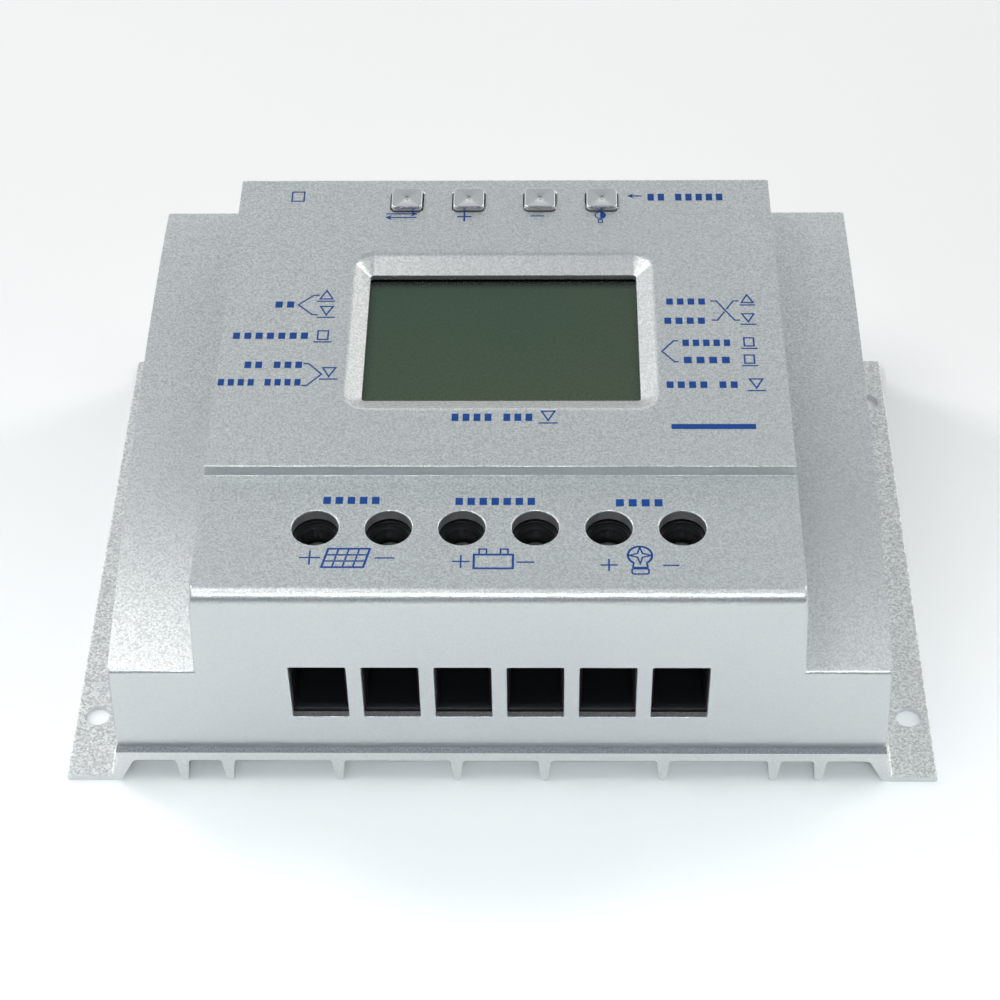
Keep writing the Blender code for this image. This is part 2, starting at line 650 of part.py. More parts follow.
def main_board():
    bm = bmesh.new()
    add_box(bm, MAIN_BOARD_X, MAIN_BOARD_Y, MAIN_BOARD_Z)
    board = make("main_board", bm, "board_laminate")
    spots = [(side * BOARD_SCREW_X, y) for y in BOARD_SCREW_Y for side in (-1, 1)]
    bm = bmesh.new()
    for spot in spots:
        add_disc(bm, spot, BOARD_SCREW_RADIUS + 0.4, (MAIN_BOARD_Z[0] - 1, MAIN_BOARD_Z[1] + 1), 12)
    boolean(board, make("main_board_holes", bm))

    low, high = PLATE_Z[1] + GAP, MAIN_BOARD_Z[0] - GAP
    head = MAIN_BOARD_Z[1] + GAP
    bore, outer = SPACER_RADII
    tube = [(bore, low), (bore, high), (outer, high), (outer, low), (bore, low)]
    wide, tall = BOARD_SCREW_HEAD
    screw = [(0, head + tall), (wide - 0.5, head + tall), (wide, head + tall - 0.6), (wide, head),
             (BOARD_SCREW_RADIUS, head), (BOARD_SCREW_RADIUS, BOARD_SCREW_TIP_Z), (0, BOARD_SCREW_TIP_Z)]
    names = ["front_left", "front_right", "rear_left", "rear_right"]
    for name, (x, y) in zip(names, spots):
        turned("board_spacer_" + name, tube, "spacer_brass", (x, y, 0), 12)
        turned("board_screw_" + name, screw, "screw_steel", (x, y, 0), 12)


def cover_screws():
    low = PLATE_Z[0] + 0.1
    head, sunk = COVER_SCREW_HEAD
    profile = [(0, COVER_SCREW_TOP_Z), (1.0, COVER_SCREW_TOP_Z), (COVER_SCREW_RADIUS, COVER_SCREW_TOP_Z - 1.5),
               (COVER_SCREW_RADIUS, low + sunk), (head, low), (0, low)]
    names = ["front_left", "rear_left", "front_right", "rear_right"]
    for name, (x, y) in zip(names, mirrored((COVER_SCREW_X, COVER_SCREW_Y))):
        turned("cover_screw_" + name, profile, "screw_steel", (x, y, 0), 12)


def power_transistors():
    """Transistors whose metal tabs lie on a thermal pad, held down by one bridge-shaped clamp."""
    low = PLATE_Z[1] + 0.85
    front, rear = TRANSISTOR_Y
    tab_top, body_top = low + TAB_THICKNESS, low + TRANSISTOR_THICKNESS
    body_rear = front + 9.0
    body = [(front, low), (rear, low), (rear, tab_top), (body_rear, tab_top), (body_rear, body_top),
            (front, body_top)]
    leg_z = (low + 2.0, low + 2.6)
    bend_y = (front - 10.2, front - 9.6)
    leg_end = MAIN_BOARD_Z[0] - GAP
    leg = [(front + 1, leg_z[0]), (front + 1, leg_z[1]), (bend_y[1], leg_z[1]), (bend_y[1], leg_end),
           (bend_y[0], leg_end), (bend_y[0], leg_z[0])]
    for number, x in enumerate(TRANSISTOR_X):
        name = "power_transistor_%d" % (number + 1)
        bm = bmesh.new()
        add_prism(bm, body, (x - TRANSISTOR_HALF, x + TRANSISTOR_HALF), 0)
        transistor = make(name, bm, "transistor_epoxy")
        bm = bmesh.new()
        for offset in (-LEG_PITCH, 0, LEG_PITCH):
            add_prism(bm, leg, (x + offset - LEG_HALF, x + offset + LEG_HALF), 0)
        boolean(transistor, make(name + "_legs", bm), "UNION")

    bm = bmesh.new()
    pad_half = CLAMP_HALF - 5
    add_box(bm, (-pad_half, pad_half), (front - 2, rear + 2), (PLATE_Z[1] + 0.3, PLATE_Z[1] + 0.55))
    make("thermal_pad", bm, "pad_silicone")

    floor, under = PLATE_Z[1] + GAP, body_top + GAP
    over, inner = under + CLAMP_THICKNESS, CLAMP_HALF - CLAMP_THICKNESS
    clamp = [(-CLAMP_HALF, floor), (-inner, floor), (-inner, under), (inner, under), (inner, floor),
             (CLAMP_HALF, floor), (CLAMP_HALF, over), (-CLAMP_HALF, over)]
    bm = bmesh.new()
    add_prism(bm, clamp, CLAMP_Y, 1)
    make("transistor_clamp", bm, "clamp_steel")


def board_components():
    """Two capacitor cans, each with the groove that crimps its seal, and a wound ring core."""
    low = MAIN_BOARD_Z[1] + GAP
    radius, top = CAPACITOR_RADIUS, CAPACITOR_TOP_Z
    groove = low + 2.8
    can = [(0, top), (radius - 0.8, top), (radius, top - 0.8), (radius, groove + 0.6), (radius - 0.5, groove),
           (radius, groove - 0.6), (radius, low), (0, low)]
    x, y = CAPACITOR_AT
    turned("capacitor_left", can, "capacitor_sleeve", (-x, y, 0), 18)
    turned("capacitor_right", can, "capacitor_sleeve", (x, y, 0), 18)

    ring = arc((INDUCTOR_RING, low + INDUCTOR_WIRE + 0.5), INDUCTOR_WIRE, 90, -270, 8)
    turned("inductor", ring, "inductor_wire", (*INDUCTOR_AT, 0), 18)


def ribbon_cable():
    """A flat cable that bows forward between the two boards."""
    high, low = DISPLAY_BOARD_Z[0] - 0.6, MAIN_BOARD_Z[1] + 0.6
    steps = 12
    bm = bmesh.new()
    rows = []
    for step in range(steps + 1):
        share = step / steps
        y = RIBBON_Y - RIBBON_BOW * math.sin(math.pi * share)
        z = high + (low - high) * share
        rows.append([bm.verts.new((x, y, z)) for x in RIBBON_X])
    for first, second in zip(rows, rows[1:]):
        bm.faces.new((first[0], first[1], second[1], second[0]))
    cable = make("ribbon_cable", bm, "ribbon_vinyl")
    thicken = cable.modifiers.new("thickness", "SOLIDIFY")
    thicken.thickness = RIBBON_THICKNESS * MM
    thicken.offset = 0


top_cover()
heat_sink()
base_gasket()
display()
button_caps()
switches()
terminal_block()
wire_cages()
contact_bars()
clamp_screws()
main_board()
cover_screws()
power_transistors()
board_components()
ribbon_cable()
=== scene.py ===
"""The looks of the solar charge controller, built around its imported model.

X runs across the front, +Y to the rear and +Z up, with the origin on the ground under the middle.
Shapes are worked out in millimetres, and each mesh is scaled to metres when it is made.
"""

import math

import bmesh
import bpy
from mathutils import Matrix, Vector


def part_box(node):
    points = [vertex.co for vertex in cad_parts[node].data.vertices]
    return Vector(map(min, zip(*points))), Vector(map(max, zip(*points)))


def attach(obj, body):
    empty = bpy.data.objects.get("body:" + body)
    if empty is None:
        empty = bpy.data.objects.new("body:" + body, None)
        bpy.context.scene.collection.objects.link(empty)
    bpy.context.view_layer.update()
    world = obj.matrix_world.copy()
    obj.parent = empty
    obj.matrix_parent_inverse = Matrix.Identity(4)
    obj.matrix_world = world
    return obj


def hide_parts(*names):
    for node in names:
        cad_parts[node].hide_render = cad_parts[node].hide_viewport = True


MM = 0.001
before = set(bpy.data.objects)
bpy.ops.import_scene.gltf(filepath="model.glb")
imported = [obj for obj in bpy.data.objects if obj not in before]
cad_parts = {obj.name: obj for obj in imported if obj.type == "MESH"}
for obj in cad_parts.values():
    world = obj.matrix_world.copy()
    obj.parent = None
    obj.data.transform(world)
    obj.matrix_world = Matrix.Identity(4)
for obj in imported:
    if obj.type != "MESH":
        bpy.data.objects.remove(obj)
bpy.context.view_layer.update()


def span(node):
    """A node's (low, high) pair along X, Y and Z, in millimetres."""
    low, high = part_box(node)
    return [(low[axis] / MM, high[axis] / MM) for axis in range(3)]


def middle(pair):
    return (pair[0] + pair[1]) / 2


def spot(node):
    """Where a node stands: the middle of its box along X and Y."""
    x, y, _ = span(node)
    return middle(x), middle(y)


# Sizes taken from the frame.
WAYS = ["solar_plus", "solar_minus", "battery_plus", "battery_minus", "load_plus", "load_minus"]
BUTTONS = ["cycle", "plus", "minus", "lamp"]
_, (FRONT_Y, REAR_Y), (_, HIGH_TOP_Z) = span("top_cover")
(_, SINK_HALF_WIDTH), (_, SINK_HALF_LENGTH), (_, PLATE_Z) = span("heat_sink")
PLATE_TOP_Z, RIM_Z = span("base_gasket")[2]  # the plate and the cover's rim meet the gasket
BLOCK_X, BLOCK_Y, BLOCK_Z = span("terminal_block")
GLASS_X, GLASS_Y, _ = span("lcd_glass")
HEAD_RADIUS = (span("clamp_screw_solar_plus")[0][1] - span("clamp_screw_solar_plus")[0][0]) / 2
SCREW_Z = span("clamp_screw_solar_plus")[2]
CAGE = span("wire_cage_solar_plus")
WAY_SPOTS = [spot("clamp_screw_" + way) for way in WAYS]
BUTTON_SPOTS = [spot(button + "_button") for button in BUTTONS]
DISPLAY_Y = middle(GLASS_Y)

# Cover.
DRAFT = 0.053
BLOCK_HALF_WIDTH = 65.8
LOW_TOP_Z = HIGH_TOP_Z - 2.5
STEP_Y = -32.6
STEP_RUN = 0.45
WING_FRONT_Z = 36.7
WING_DRAFT = 0.046
WING_HALF_WIDTH = 86.2
WING_CREST = (41.8, 55.0)
TOP_WALL = 2.6
SIDE_WALL = 2.2
FRONT_WALL = 1.6
EDGE_RADIUS = 0.7
DRIVER_HOLE_RADIUS = 5.1
SLOT_HALF = 6.3
SLOT_Z = (21.3, 38.3)
DISH_HALF = (36.0, 27.3)
DISH_RADIUS = 5.0
WINDOW_HALF = (32.0, 21.9)
WINDOW_RADIUS = 0.8
DISH_DEPTH = 2.5
WINDOW_LIP_Z = 60.6
FRAME_WALL = (4.2, 6.0)

# Buttons: a cap in its opening, a flange under the cover's top and a stem.
CAP_HALF = (3.8, 3.75)
CAP_RADIUS = 1.1
CAP_EDGE = 0.4
CAP_GAP = 0.3
BUTTON_FLANGE_OUT = 0.8
BUTTON_FLANGE_Z = (HIGH_TOP_Z - 3.8, HIGH_TOP_Z - 3.0)
STEM_HALF = 1.5
STEM_RADIUS = 1.4

# Terminals.
CELL_HALF = 6.3
CELL_Y = (-57.0, -37.4)
CELL_Z = (CAGE[2][0] - 0.3, 48.5)
MOUTH_HALF = 5.6
MOUTH_TOP_Z = 37.0
WELL_RADIUS = 3.85
WELL_FLOOR_Z = SCREW_Z[1] - 3.3
SHANK_HOLE_RADIUS = 2.8
BAR_WAY_HALF = 4.8
BAR_WAY_Y = (-40.4, -37.6)
GROOVE_HALF = 0.4
GROOVE_DEPTH = 0.6
HEAD_HEIGHT = 3.0
HEAD_EDGE = 0.75
THREAD_RADII = (2.15, 2.5)
THREAD_RISE = 0.4
THREAD_TURNS = 14
DRIVER_SLOT_HALF = 0.6
DRIVER_SLOT_DEPTH = 1.3
CAGE_WALL = 1.0
CAGE_FLOOR = 1.5
CAGE_ROOF = 3.0

# Heat sink.
PLATE_HALF_WIDTH = 87.4
PLATE_UNDER_Z = PLATE_Z - 2.5
FLANGE_THICKNESS = 1.6
FLANGE_ROOT_X = 89.2
LEG_FOOT_X = 87.4
LEG_TOP_X = 83.7
FIN_X = [10.0, 37.0, 62.2, 72.65]
FIN_ROOT = 1.5
FIN_TIP = 0.8
FIN_TIP_Z = 0.2
MOUNT_HOLE_X = 95.0
MOUNT_HOLE_Y = (-52.3, 54.0)
MOUNT_HOLE_RADIUS = 2.85
MOUNT_HOLE_CHAMFER = 0.25
MOUNT_HOLE_EASE = 0.12
SCREW_HOLE_RADIUS = 1.8


# ---------------------------------------------------------------- mesh helpers

def solid(name, bm):
    """An object made of a millimetre bmesh, scaled to metres, with its origin at the frame's."""
    bmesh.ops.recalc_face_normals(bm, faces=bm.faces)
    bmesh.ops.scale(bm, vec=Vector((MM, MM, MM)), verts=bm.verts)
    mesh = bpy.data.meshes.new(name)
    bm.to_mesh(mesh)
    bm.free()
    item = bpy.data.objects.new(name, mesh)
    bpy.context.scene.collection.objects.link(item)
    return item


def settle(item):
    """Replace an object's mesh by what its modifiers make of it."""
    depsgraph = bpy.context.evaluated_depsgraph_get()
    mesh = bpy.data.meshes.new_from_object(item.evaluated_get(depsgraph))
    item.modifiers.clear()
    item.data = mesh


def combine(item, others, operation="DIFFERENCE"):
    """Cut other solids out of an item, or join them to it, and remove them."""
    for other in others:
        modifier = item.modifiers.new("combine", "BOOLEAN")
        modifier.object = other
        modifier.operation = operation
        modifier.solver = "EXACT"
    settle(item)
    for other in others:
        bpy.data.objects.remove(other, do_unlink=True)
    return item


def add_box(bm, x, y, z):
    made = bmesh.ops.create_cube(bm, size=1.0)
    for vert in made["verts"]:
        for axis, (low, high) in enumerate((x, y, z)):
            vert.co[axis] = low if vert.co[axis] < 0 else high


def add_loft(bm, rings, closed=False):
    """Skin a stack of rings of equal length; the ends are capped unless the stack closes on itself."""
    rows = [[bm.verts.new(point) for point in ring] for ring in rings]
    pairs = list(zip(rows, rows[1:])) + ([(rows[-1], rows[0])] if closed else [])
    for lower, upper in pairs:
        for index in range(len(lower)):
            following = (index + 1) % len(lower)
            bm.faces.new((lower[index], lower[following], upper[following], upper[index]))
    if not closed:
        bm.faces.new(rows[0][::-1])
        bm.faces.new(rows[-1])


def circle(radius, z, centre, sides=96):
    x, y = centre
    turns = [math.tau * step / sides for step in range(sides)]
    return [Vector((x + radius * math.cos(a), y + radius * math.sin(a), z)) for a in turns]


def rounded_ring(half_x, half_y, radius, z, centre, corner_steps=8):
    """A rectangle with round corners, as one ring of points at height z."""
    points = []
    for turn, (side_x, side_y) in enumerate(((1, 1), (-1, 1), (-1, -1), (1, -1))):
        for step in range(corner_steps + 1):
            angle = math.radians(90 * turn + 90 * step / corner_steps)
            x = centre[0] + side_x * (half_x - radius) + radius * math.cos(angle)
            y = centre[1] + side_y * (half_y - radius) + radius * math.sin(angle)
            points.append(Vector((x, y, z)))
    return points


def upright(ring, y):
    """Turn a level ring to stand across the front at y: its own y becomes height."""
    return [Vector((point.x, y, point.y)) for point in ring]


def arc(centre, radius, start, end, steps):
    """Points on an arc, from the start angle to the end angle, in degrees."""
    angles = [math.radians(start + (end - start) * step / steps) for step in range(steps + 1)]
    return [(centre[0] + radius * math.cos(a), centre[1] + radius * math.sin(a)) for a in angles]


def fillet(corners, steps=6):
    """A closed outline whose corners, each (a, b, radius), are turned into arcs."""
    points = []
    for index, (a, b, radius) in enumerate(corners):
        here = Vector((a, b))
        if not radius:
            points.append((a, b))
            continue
        before = (Vector(corners[index - 1][:2]) - here).normalized()
        after = (Vector(corners[(index + 1) % len(corners)][:2]) - here).normalized()
        half = before.angle(after) / 2
        centre = here + (before + after).normalized() * radius / math.sin(half)
        reach = radius / math.tan(half)
        ends = [math.atan2(*reversed(here + side * reach - centre)) for side in (before, after)]
        turn = (ends[1] - ends[0] + math.pi) % math.tau - math.pi
        points += arc(centre, radius, math.degrees(ends[0]), math.degrees(ends[0] + turn), steps)
    return points


def round_edges(bm, chosen, radius, segments=4):
    edges = [edge for edge in bm.edges if chosen(edge)]
    bmesh.ops.bevel(bm, geom=edges, offset=radius, segments=segments, profile=0.5, affect="EDGES")


def quarter(radius, steps=5):
    """(outward, down) pairs along a quarter circle that eases an edge, from its outer end inwards."""
    angles = [math.pi / 2 * step / steps for step in range(steps + 1)]
    return [(radius * (1 - math.sin(a)), radius * (1 - math.cos(a))) for a in angles]


# ---------------------------------------------------------------- materials

# Slow blotches under the grain, in repeats per millimetre.
SURFACE_BLOTCH = 0.02
PAINT_BLOTCH = 0.012


class Nodes:
    """A short way to write a node tree: each call adds a node, sets its inputs and returns it."""

    def __init__(self, owner, shader="Principled BSDF", place="Object"):
        owner.use_nodes = True
        self.owner = owner
        self.tree = owner.node_tree
        self.shader = self.tree.nodes[shader]
        self.place = self("ShaderNodeTexCoord").outputs[place]

    def __call__(self, kind, settings=None, **inputs):
        node = self.tree.nodes.new(kind)
        for key, value in (settings or {}).items():
            setattr(node, key, value)
        for key, value in inputs.items():
            self.put(node, key, value)
        return node

    def put(self, node, key, value):
        numbered = key[0] == "_" and key[1:].isdigit()
        socket = node.inputs[int(key[1:]) if numbered else key.replace("_", " ")]
        if isinstance(value, bpy.types.NodeSocket):
            self.tree.links.new(value, socket)
        else:
            socket.default_value = value

    def stretched(self, stretch):
        if tuple(stretch) == (1, 1, 1):
            return self.place
        return self("ShaderNodeMapping", Vector=self.place, Scale=stretch).outputs[0]

    def noise(self, scale, detail=2.0, roughness=0.5, stretch=(1, 1, 1)):
        """Noise whose scale is in repeats per millimetre."""
        node = self("ShaderNodeTexNoise", Vector=self.stretched(stretch), Scale=scale / MM,
                    Detail=detail, Roughness=roughness)
        return node.outputs["Fac"]

    def ramp(self, factor, low, high, start=0.0, end=1.0):
        """A factor mapped from (low, high) to (start, end)."""
        node = self("ShaderNodeMapRange", Value=factor, From_Min=low, From_Max=high, To_Min=start,
                    To_Max=end)
        return node.outputs[0]

    def mix(self, factor, first, second):
        node = self("ShaderNodeMix", {"data_type": "RGBA"})
        self.put(node, "_0", factor)
        self.put(node, "_6", first)
        self.put(node, "_7", second)
        return node.outputs[2]

    def bump(self, height, distance, strength=1.0, normal=None):
        """Bump from a height map, with its distance in millimetres."""
        node = self("ShaderNodeBump", Strength=strength, Distance=distance * MM, Height=height)
        if normal is not None:
            self.put(node, "Normal", normal)
        return node.outputs[0]

    def set(self, **inputs):
        for key, value in inputs.items():
            self.put(self.shader, key, value)


def rgba(colour, factor=1.0):
    return (*(min(1.0, part * factor) for part in colour), 1.0)


def surface(name, colour, metallic, roughness, grain, contrast, depth, stretch=(1, 1, 1), **extra):
    """A finish with fine grain over slow blotches, both in its colour, roughness and bump.

    grain is in repeats per millimetre, contrast is its share of the colour and depth its height in
    millimetres.
    """
    n = Nodes(bpy.data.materials.new(name))
    fine = n.noise(grain, 2.0, 0.6, stretch)
    slow = n.noise(SURFACE_BLOTCH, 3.0, 0.55)
    tone = n.mix(n.ramp(fine, 0.3, 0.7), rgba(colour, 1 - contrast), rgba(colour, 1 + contrast))
    tone = n.mix(n.ramp(slow, 0.3, 0.7, 0.0, 0.35), tone, rgba(colour, 1 - contrast * 0.6))
    spread = n.mix(n.ramp(fine, 0.3, 0.7), rgba([roughness * 0.88] * 3), rgba([roughness * 1.12] * 3))
    n.set(Base_Color=tone, Metallic=metallic, Roughness=spread, Normal=n.bump(fine, depth), **extra)
    return n.owner


def flake_paint(name, colour, metallic, roughness, grain, contrast, depth):
    """Silver paint: flakes that each catch the light a little differently, as lighter and darker specks
    in the colour, with a painted glint that makes the specks strongest on what faces up.
    """
    n = Nodes(bpy.data.materials.new(name))
    up = n("ShaderNodeSeparateXYZ", Vector=n("ShaderNodeTexCoord").outputs["Normal"]).outputs[2]
    # Painted highlight: the specks show fully on faces that point up and only faintly on upright ones,
    # as if only the upward faces caught the lamps.
    painted_glint_facing_up = n.ramp(up, 0.1, 0.7, 0.12, 1.0)
    flakes = n("ShaderNodeTexVoronoi", {"feature": "F1"}, Vector=n.place, Scale=grain / MM,
               Randomness=1.0)
    random = n("ShaderNodeSeparateColor", Color=flakes.outputs["Color"]).outputs[0]
    sparkle = n.mix(0.4, random, n.noise(grain * 0.8, 2.0, 0.65))
    slow = n.noise(PAINT_BLOTCH, 3.0, 0.5)
    tone = n.mix(n.ramp(sparkle, 0.2, 0.8), rgba(colour, 1 - contrast), rgba(colour, 1 + contrast))
    # Painted glint: the speckled tone on faces that point up, the plain colour on the rest.
    tone = n.mix(painted_glint_facing_up, rgba(colour), tone)
    tone = n.mix(n.ramp(slow, 0.3, 0.7, 0.0, 0.4), tone, rgba(colour, 0.97))
    rough = n.mix(n.ramp(sparkle, 0.2, 0.8), rgba([roughness * 1.1] * 3), rgba([roughness * 0.9] * 3))
    orange_peel = n.bump(n.noise(0.45, 2.0, 0.5), 0.008)
    n.set(Base_Color=tone, Metallic=metallic, Roughness=rough,
          Normal=n.bump(sparkle, depth, painted_glint_facing_up, orange_peel))
    return n.owner


def display_glass():
    """Dark liquid crystal behind glass: lighter in front, browner to the right, and black at the rear
    with painted shade.
    """
    n = Nodes(bpy.data.materials.new("display_glass"))
    where = n("ShaderNodeSeparateXYZ", Vector=n.place).outputs
    along = n.ramp(where[1], GLASS_Y[0] * MM, GLASS_Y[1] * MM)
    across = n.ramp(where[0], GLASS_X[0] * MM, GLASS_X[1] * MM)
    tone = n.mix(along, (0.036, 0.062, 0.028, 1), (0.02, 0.052, 0.029, 1))
    haze = n.ramp(n.noise(0.03, 2.0, 0.5), 0.35, 0.65, 0.0, 0.5)
    warm = n.mix(across, (0.028, 0.056, 0.028, 1), (0.046, 0.06, 0.027, 1))
    # Painted shade: the glass goes black towards its rear edge, as if shaded by the window's lip.
    painted_lip_shade = n.ramp(where[1], (GLASS_Y[1] - 6.0) * MM, (GLASS_Y[1] - 3.2) * MM)
    tone = n.mix(painted_lip_shade, n.mix(haze, tone, warm), (0.001, 0.002, 0.001, 1))
    n.set(Base_Color=tone, Roughness=n.ramp(n.noise(1.5), 0.3, 0.7, 0.24, 0.32),
          Normal=n.bump(n.noise(3.0), 0.002), IOR=1.5, Coat_Weight=0.25, Coat_Roughness=0.08)
    return n.owner


def laminate(name, colour):
    """Board laminate: solder mask over copper tracks, with the glass weave faint below it."""
    n = Nodes(bpy.data.materials.new(name))
    tracks = n("ShaderNodeTexBrick", {"offset": 0.37}, Vector=n.place, Scale=0.16 / MM,
               Color1=(1, 1, 1, 1), Color2=(0.8, 0.8, 0.8, 1), Mortar=(0, 0, 0, 1),
               Mortar_Size=0.06).outputs["Fac"]
    weave = n.noise(1.4, 2.0, 0.6)
    tone = n.mix(tracks, rgba(colour), rgba(colour, 1.7))
    tone = n.mix(n.ramp(weave, 0.3, 0.7, 0.0, 0.4), tone, rgba(colour, 0.7))
    n.set(Base_Color=tone, Roughness=n.ramp(weave, 0.3, 0.7, 0.32, 0.5),
          Normal=n.bump(tracks, 0.03, normal=n.bump(weave, 0.01)))
    return n.owner


def wound_wire():
    """Enamelled wire laid side by side round a ring core."""
    n = Nodes(bpy.data.materials.new("inductor_wire"))
    turns = n("ShaderNodeTexWave", {"wave_type": "BANDS", "bands_direction": "DIAGONAL"}, Vector=n.place,
              Scale=0.28 / MM, Distortion=1.2, Detail=1.0).outputs["Fac"]
    tone = n.mix(turns, (0.16, 0.045, 0.018, 1), (0.62, 0.24, 0.1, 1))
    n.set(Base_Color=tone, Metallic=0.75, Roughness=n.ramp(turns, 0, 1, 0.42, 0.26),
          Normal=n.bump(turns, 0.3))
    return n.owner


def ribbon_vinyl():
    """Grey ribbon cable with its conductors raised side by side."""
    n = Nodes(bpy.data.materials.new("ribbon_vinyl"))
    ribs = n("ShaderNodeTexWave", {"wave_type": "BANDS", "bands_direction": "X"}, Vector=n.place,
             Scale=0.25 / MM, Detail=0.0).outputs["Fac"]
    tone = n.mix(ribs, (0.24, 0.25, 0.27, 1), (0.5, 0.51, 0.53, 1))
    n.set(Base_Color=tone, Roughness=n.ramp(n.noise(2.0), 0.3, 0.7, 0.5, 0.65), Normal=n.bump(ribs, 0.2))
    return n.owner


SILVER = (0.635, 0.652, 0.657)
COVER_PAINT = flake_paint("cover_paint", SILVER, 0.85, 0.38, 3.0, 0.26, 0.05)
SINK_METAL = flake_paint("sink_metal", (0.72, 0.73, 0.725), 0.8, 0.42, 2.2, 0.36, 0.1)
CAP_PAINT = flake_paint("cap_plastic", (0.68, 0.69, 0.695), 0.85, 0.22, 3.5, 0.05, 0.004)
BLOCK_PLASTIC = surface("block_plastic", (0.008, 0.008, 0.009), 0.0, 0.45, 3.0, 0.25, 0.01,
                        Specular_IOR_Level=0.3)
SCREW_STEEL = surface("screw_steel", (0.56, 0.56, 0.55), 0.95, 0.3, 2.5, 0.14, 0.01)
CAGE_STEEL = surface("cage_steel", (0.42, 0.42, 0.41), 0.95, 0.38, 2.0, 0.16, 0.01, (1, 1, 0.15))
INK = surface("ink", (0.002, 0.052, 0.25), 0.0, 0.55, 4.0, 0.1, 0.004, Specular_IOR_Level=0.25)

# A node takes the first key that its name holds, so "screw" and "spacer" come before "board".
NODE_LOOKS = {
    # The gasket's dark grey is partly its own colour and partly painted shade: it stands for the
    # shadowed ledge and gap under the cover's front wall.
    "base_gasket": surface("gasket_foam", (0.27, 0.28, 0.295), 0.0, 0.85, 2.0, 0.4, 0.06),
    "lcd_glass": display_glass(),
    "lcd_backlight": surface("backlight_plastic", (0.75, 0.78, 0.7), 0.0, 0.5, 0.8, 0.05, 0.01),
    "switch": surface("switch_plastic", (0.02, 0.02, 0.021), 0.0, 0.48, 2.4, 0.25, 0.01),
    "contact_bar": surface("bar_copper", (0.72, 0.52, 0.36), 0.95, 0.32, 1.5, 0.12, 0.01, (1, 0.2, 1)),
    "screw": SCREW_STEEL,
    "spacer": surface("spacer_brass", (0.72, 0.54, 0.24), 0.95, 0.3, 2.2, 0.1, 0.01, (1, 1, 0.2)),
    "board": laminate("board_laminate", (0.02, 0.13, 0.055)),
    "transistor_clamp": surface("clamp_steel", (0.52, 0.52, 0.51), 0.95, 0.34, 1.6, 0.1, 0.01,
                                (0.1, 1, 1)),
    "power_transistor": surface("transistor_epoxy", (0.018, 0.018, 0.02), 0.0, 0.5, 4.0, 0.3, 0.01),
    "thermal_pad": surface("pad_silicone", (0.5, 0.52, 0.55), 0.0, 0.78, 2.2, 0.12, 0.02),
    "capacitor": surface("capacitor_sleeve", (0.02, 0.03, 0.09), 0.0, 0.3, 0.7, 0.2, 0.02, (1, 1, 0.3)),
    "inductor": wound_wire(),
    "ribbon_cable": ribbon_vinyl(),
}


def dress_nodes():
    """Give every CAD node that still shows its finish from NODE_LOOKS."""
    for name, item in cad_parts.items():
        if item.hide_render:
            continue
        key = next(key for key in NODE_LOOKS if key in name)
        item.data.materials.clear()
        item.data.materials.append(NODE_LOOKS[key])
        item.data.shade_smooth()
        item.data.set_sharp_from_angle(angle=math.radians(34))


def finish_piece(item, look, body, slot, *nodes, angle=32):
    """Shade a finished piece, give it its look and body, and let it stand for CAD nodes."""
    item.data.materials.clear()
    item.data.materials.append(look)
    item.data.shade_smooth()
    item.data.set_sharp_from_angle(angle=math.radians(angle))
    weigh = item.modifiers.new("weighted_normals", "WEIGHTED_NORMAL")
    weigh.keep_sharp = True
    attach(item, body)
    if nodes:
        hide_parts(*nodes)


# ---------------------------------------------------------------- cover

def block_half(z):
    return BLOCK_HALF_WIDTH + DRAFT * (LOW_TOP_Z - z)


def wing_half(z):
    return WING_HALF_WIDTH + WING_DRAFT * (WING_FRONT_Z - z)


def wing_roof(inset, start_y, end_y, steps):
    """The wing's arched roof line: a circle, level at the crest, that meets the front wall's top."""
    crest_y, crest_z = WING_CREST
    rise = crest_z - WING_FRONT_Z
    radius = ((crest_y - FRONT_Y) ** 2 + rise ** 2) / (2 * rise)
    reach = radius - inset
    first = 90 + math.degrees(math.asin((crest_y - start_y) / reach))
    last = 90 - math.degrees(math.asin((end_y - crest_y) / reach))
    return arc((crest_y, crest_z - radius), reach, first, last, steps)


def drafted(bm, outline, half_width, inset=0.0):
    """A (y, z) outline drawn out to both sides, each side leaning in by the mould's draft."""
    add_loft(bm, [[Vector((side * (half_width(z) - inset), y, z)) for y, z in outline]
                  for side in (-1, 1)])


def is_side_edge(edge):
    """True for the edges round a side face, apart from the one along the rim."""
    first, second = (vert.co for vert in edge.verts)
    return first.x * second.x > 0 and max(first.z, second.z) > RIM_Z + 1 and abs(first.x - second.x) < 5


def cover_outside():
    bm = bmesh.new()
    front = fillet([(FRONT_Y, RIM_Z, 0), (FRONT_Y, LOW_TOP_Z, 3.2), (STEP_Y, LOW_TOP_Z, 0.3),
                    (STEP_Y + STEP_RUN, HIGH_TOP_Z, 0.5), (REAR_Y, HIGH_TOP_Z, 0.5),
                    (REAR_Y, RIM_Z, 0)], 8)
    drafted(bm, front, block_half)
    round_edges(bm, is_side_edge, EDGE_RADIUS)
    block = solid("cover", bm)

    bm = bmesh.new()
    roof = [(y, z, 0) for y, z in wing_roof(0, FRONT_Y, REAR_Y, 64)]
    roof[0] = (*roof[0][:2], 1.3)
    roof[-1] = (*roof[-1][:2], 0.5)
    drafted(bm, fillet([(FRONT_Y, RIM_Z, 0)] + roof + [(REAR_Y, RIM_Z, 0)]), wing_half)
    round_edges(bm, is_side_edge, EDGE_RADIUS)
    return combine(block, [solid("wings", bm)], "UNION")


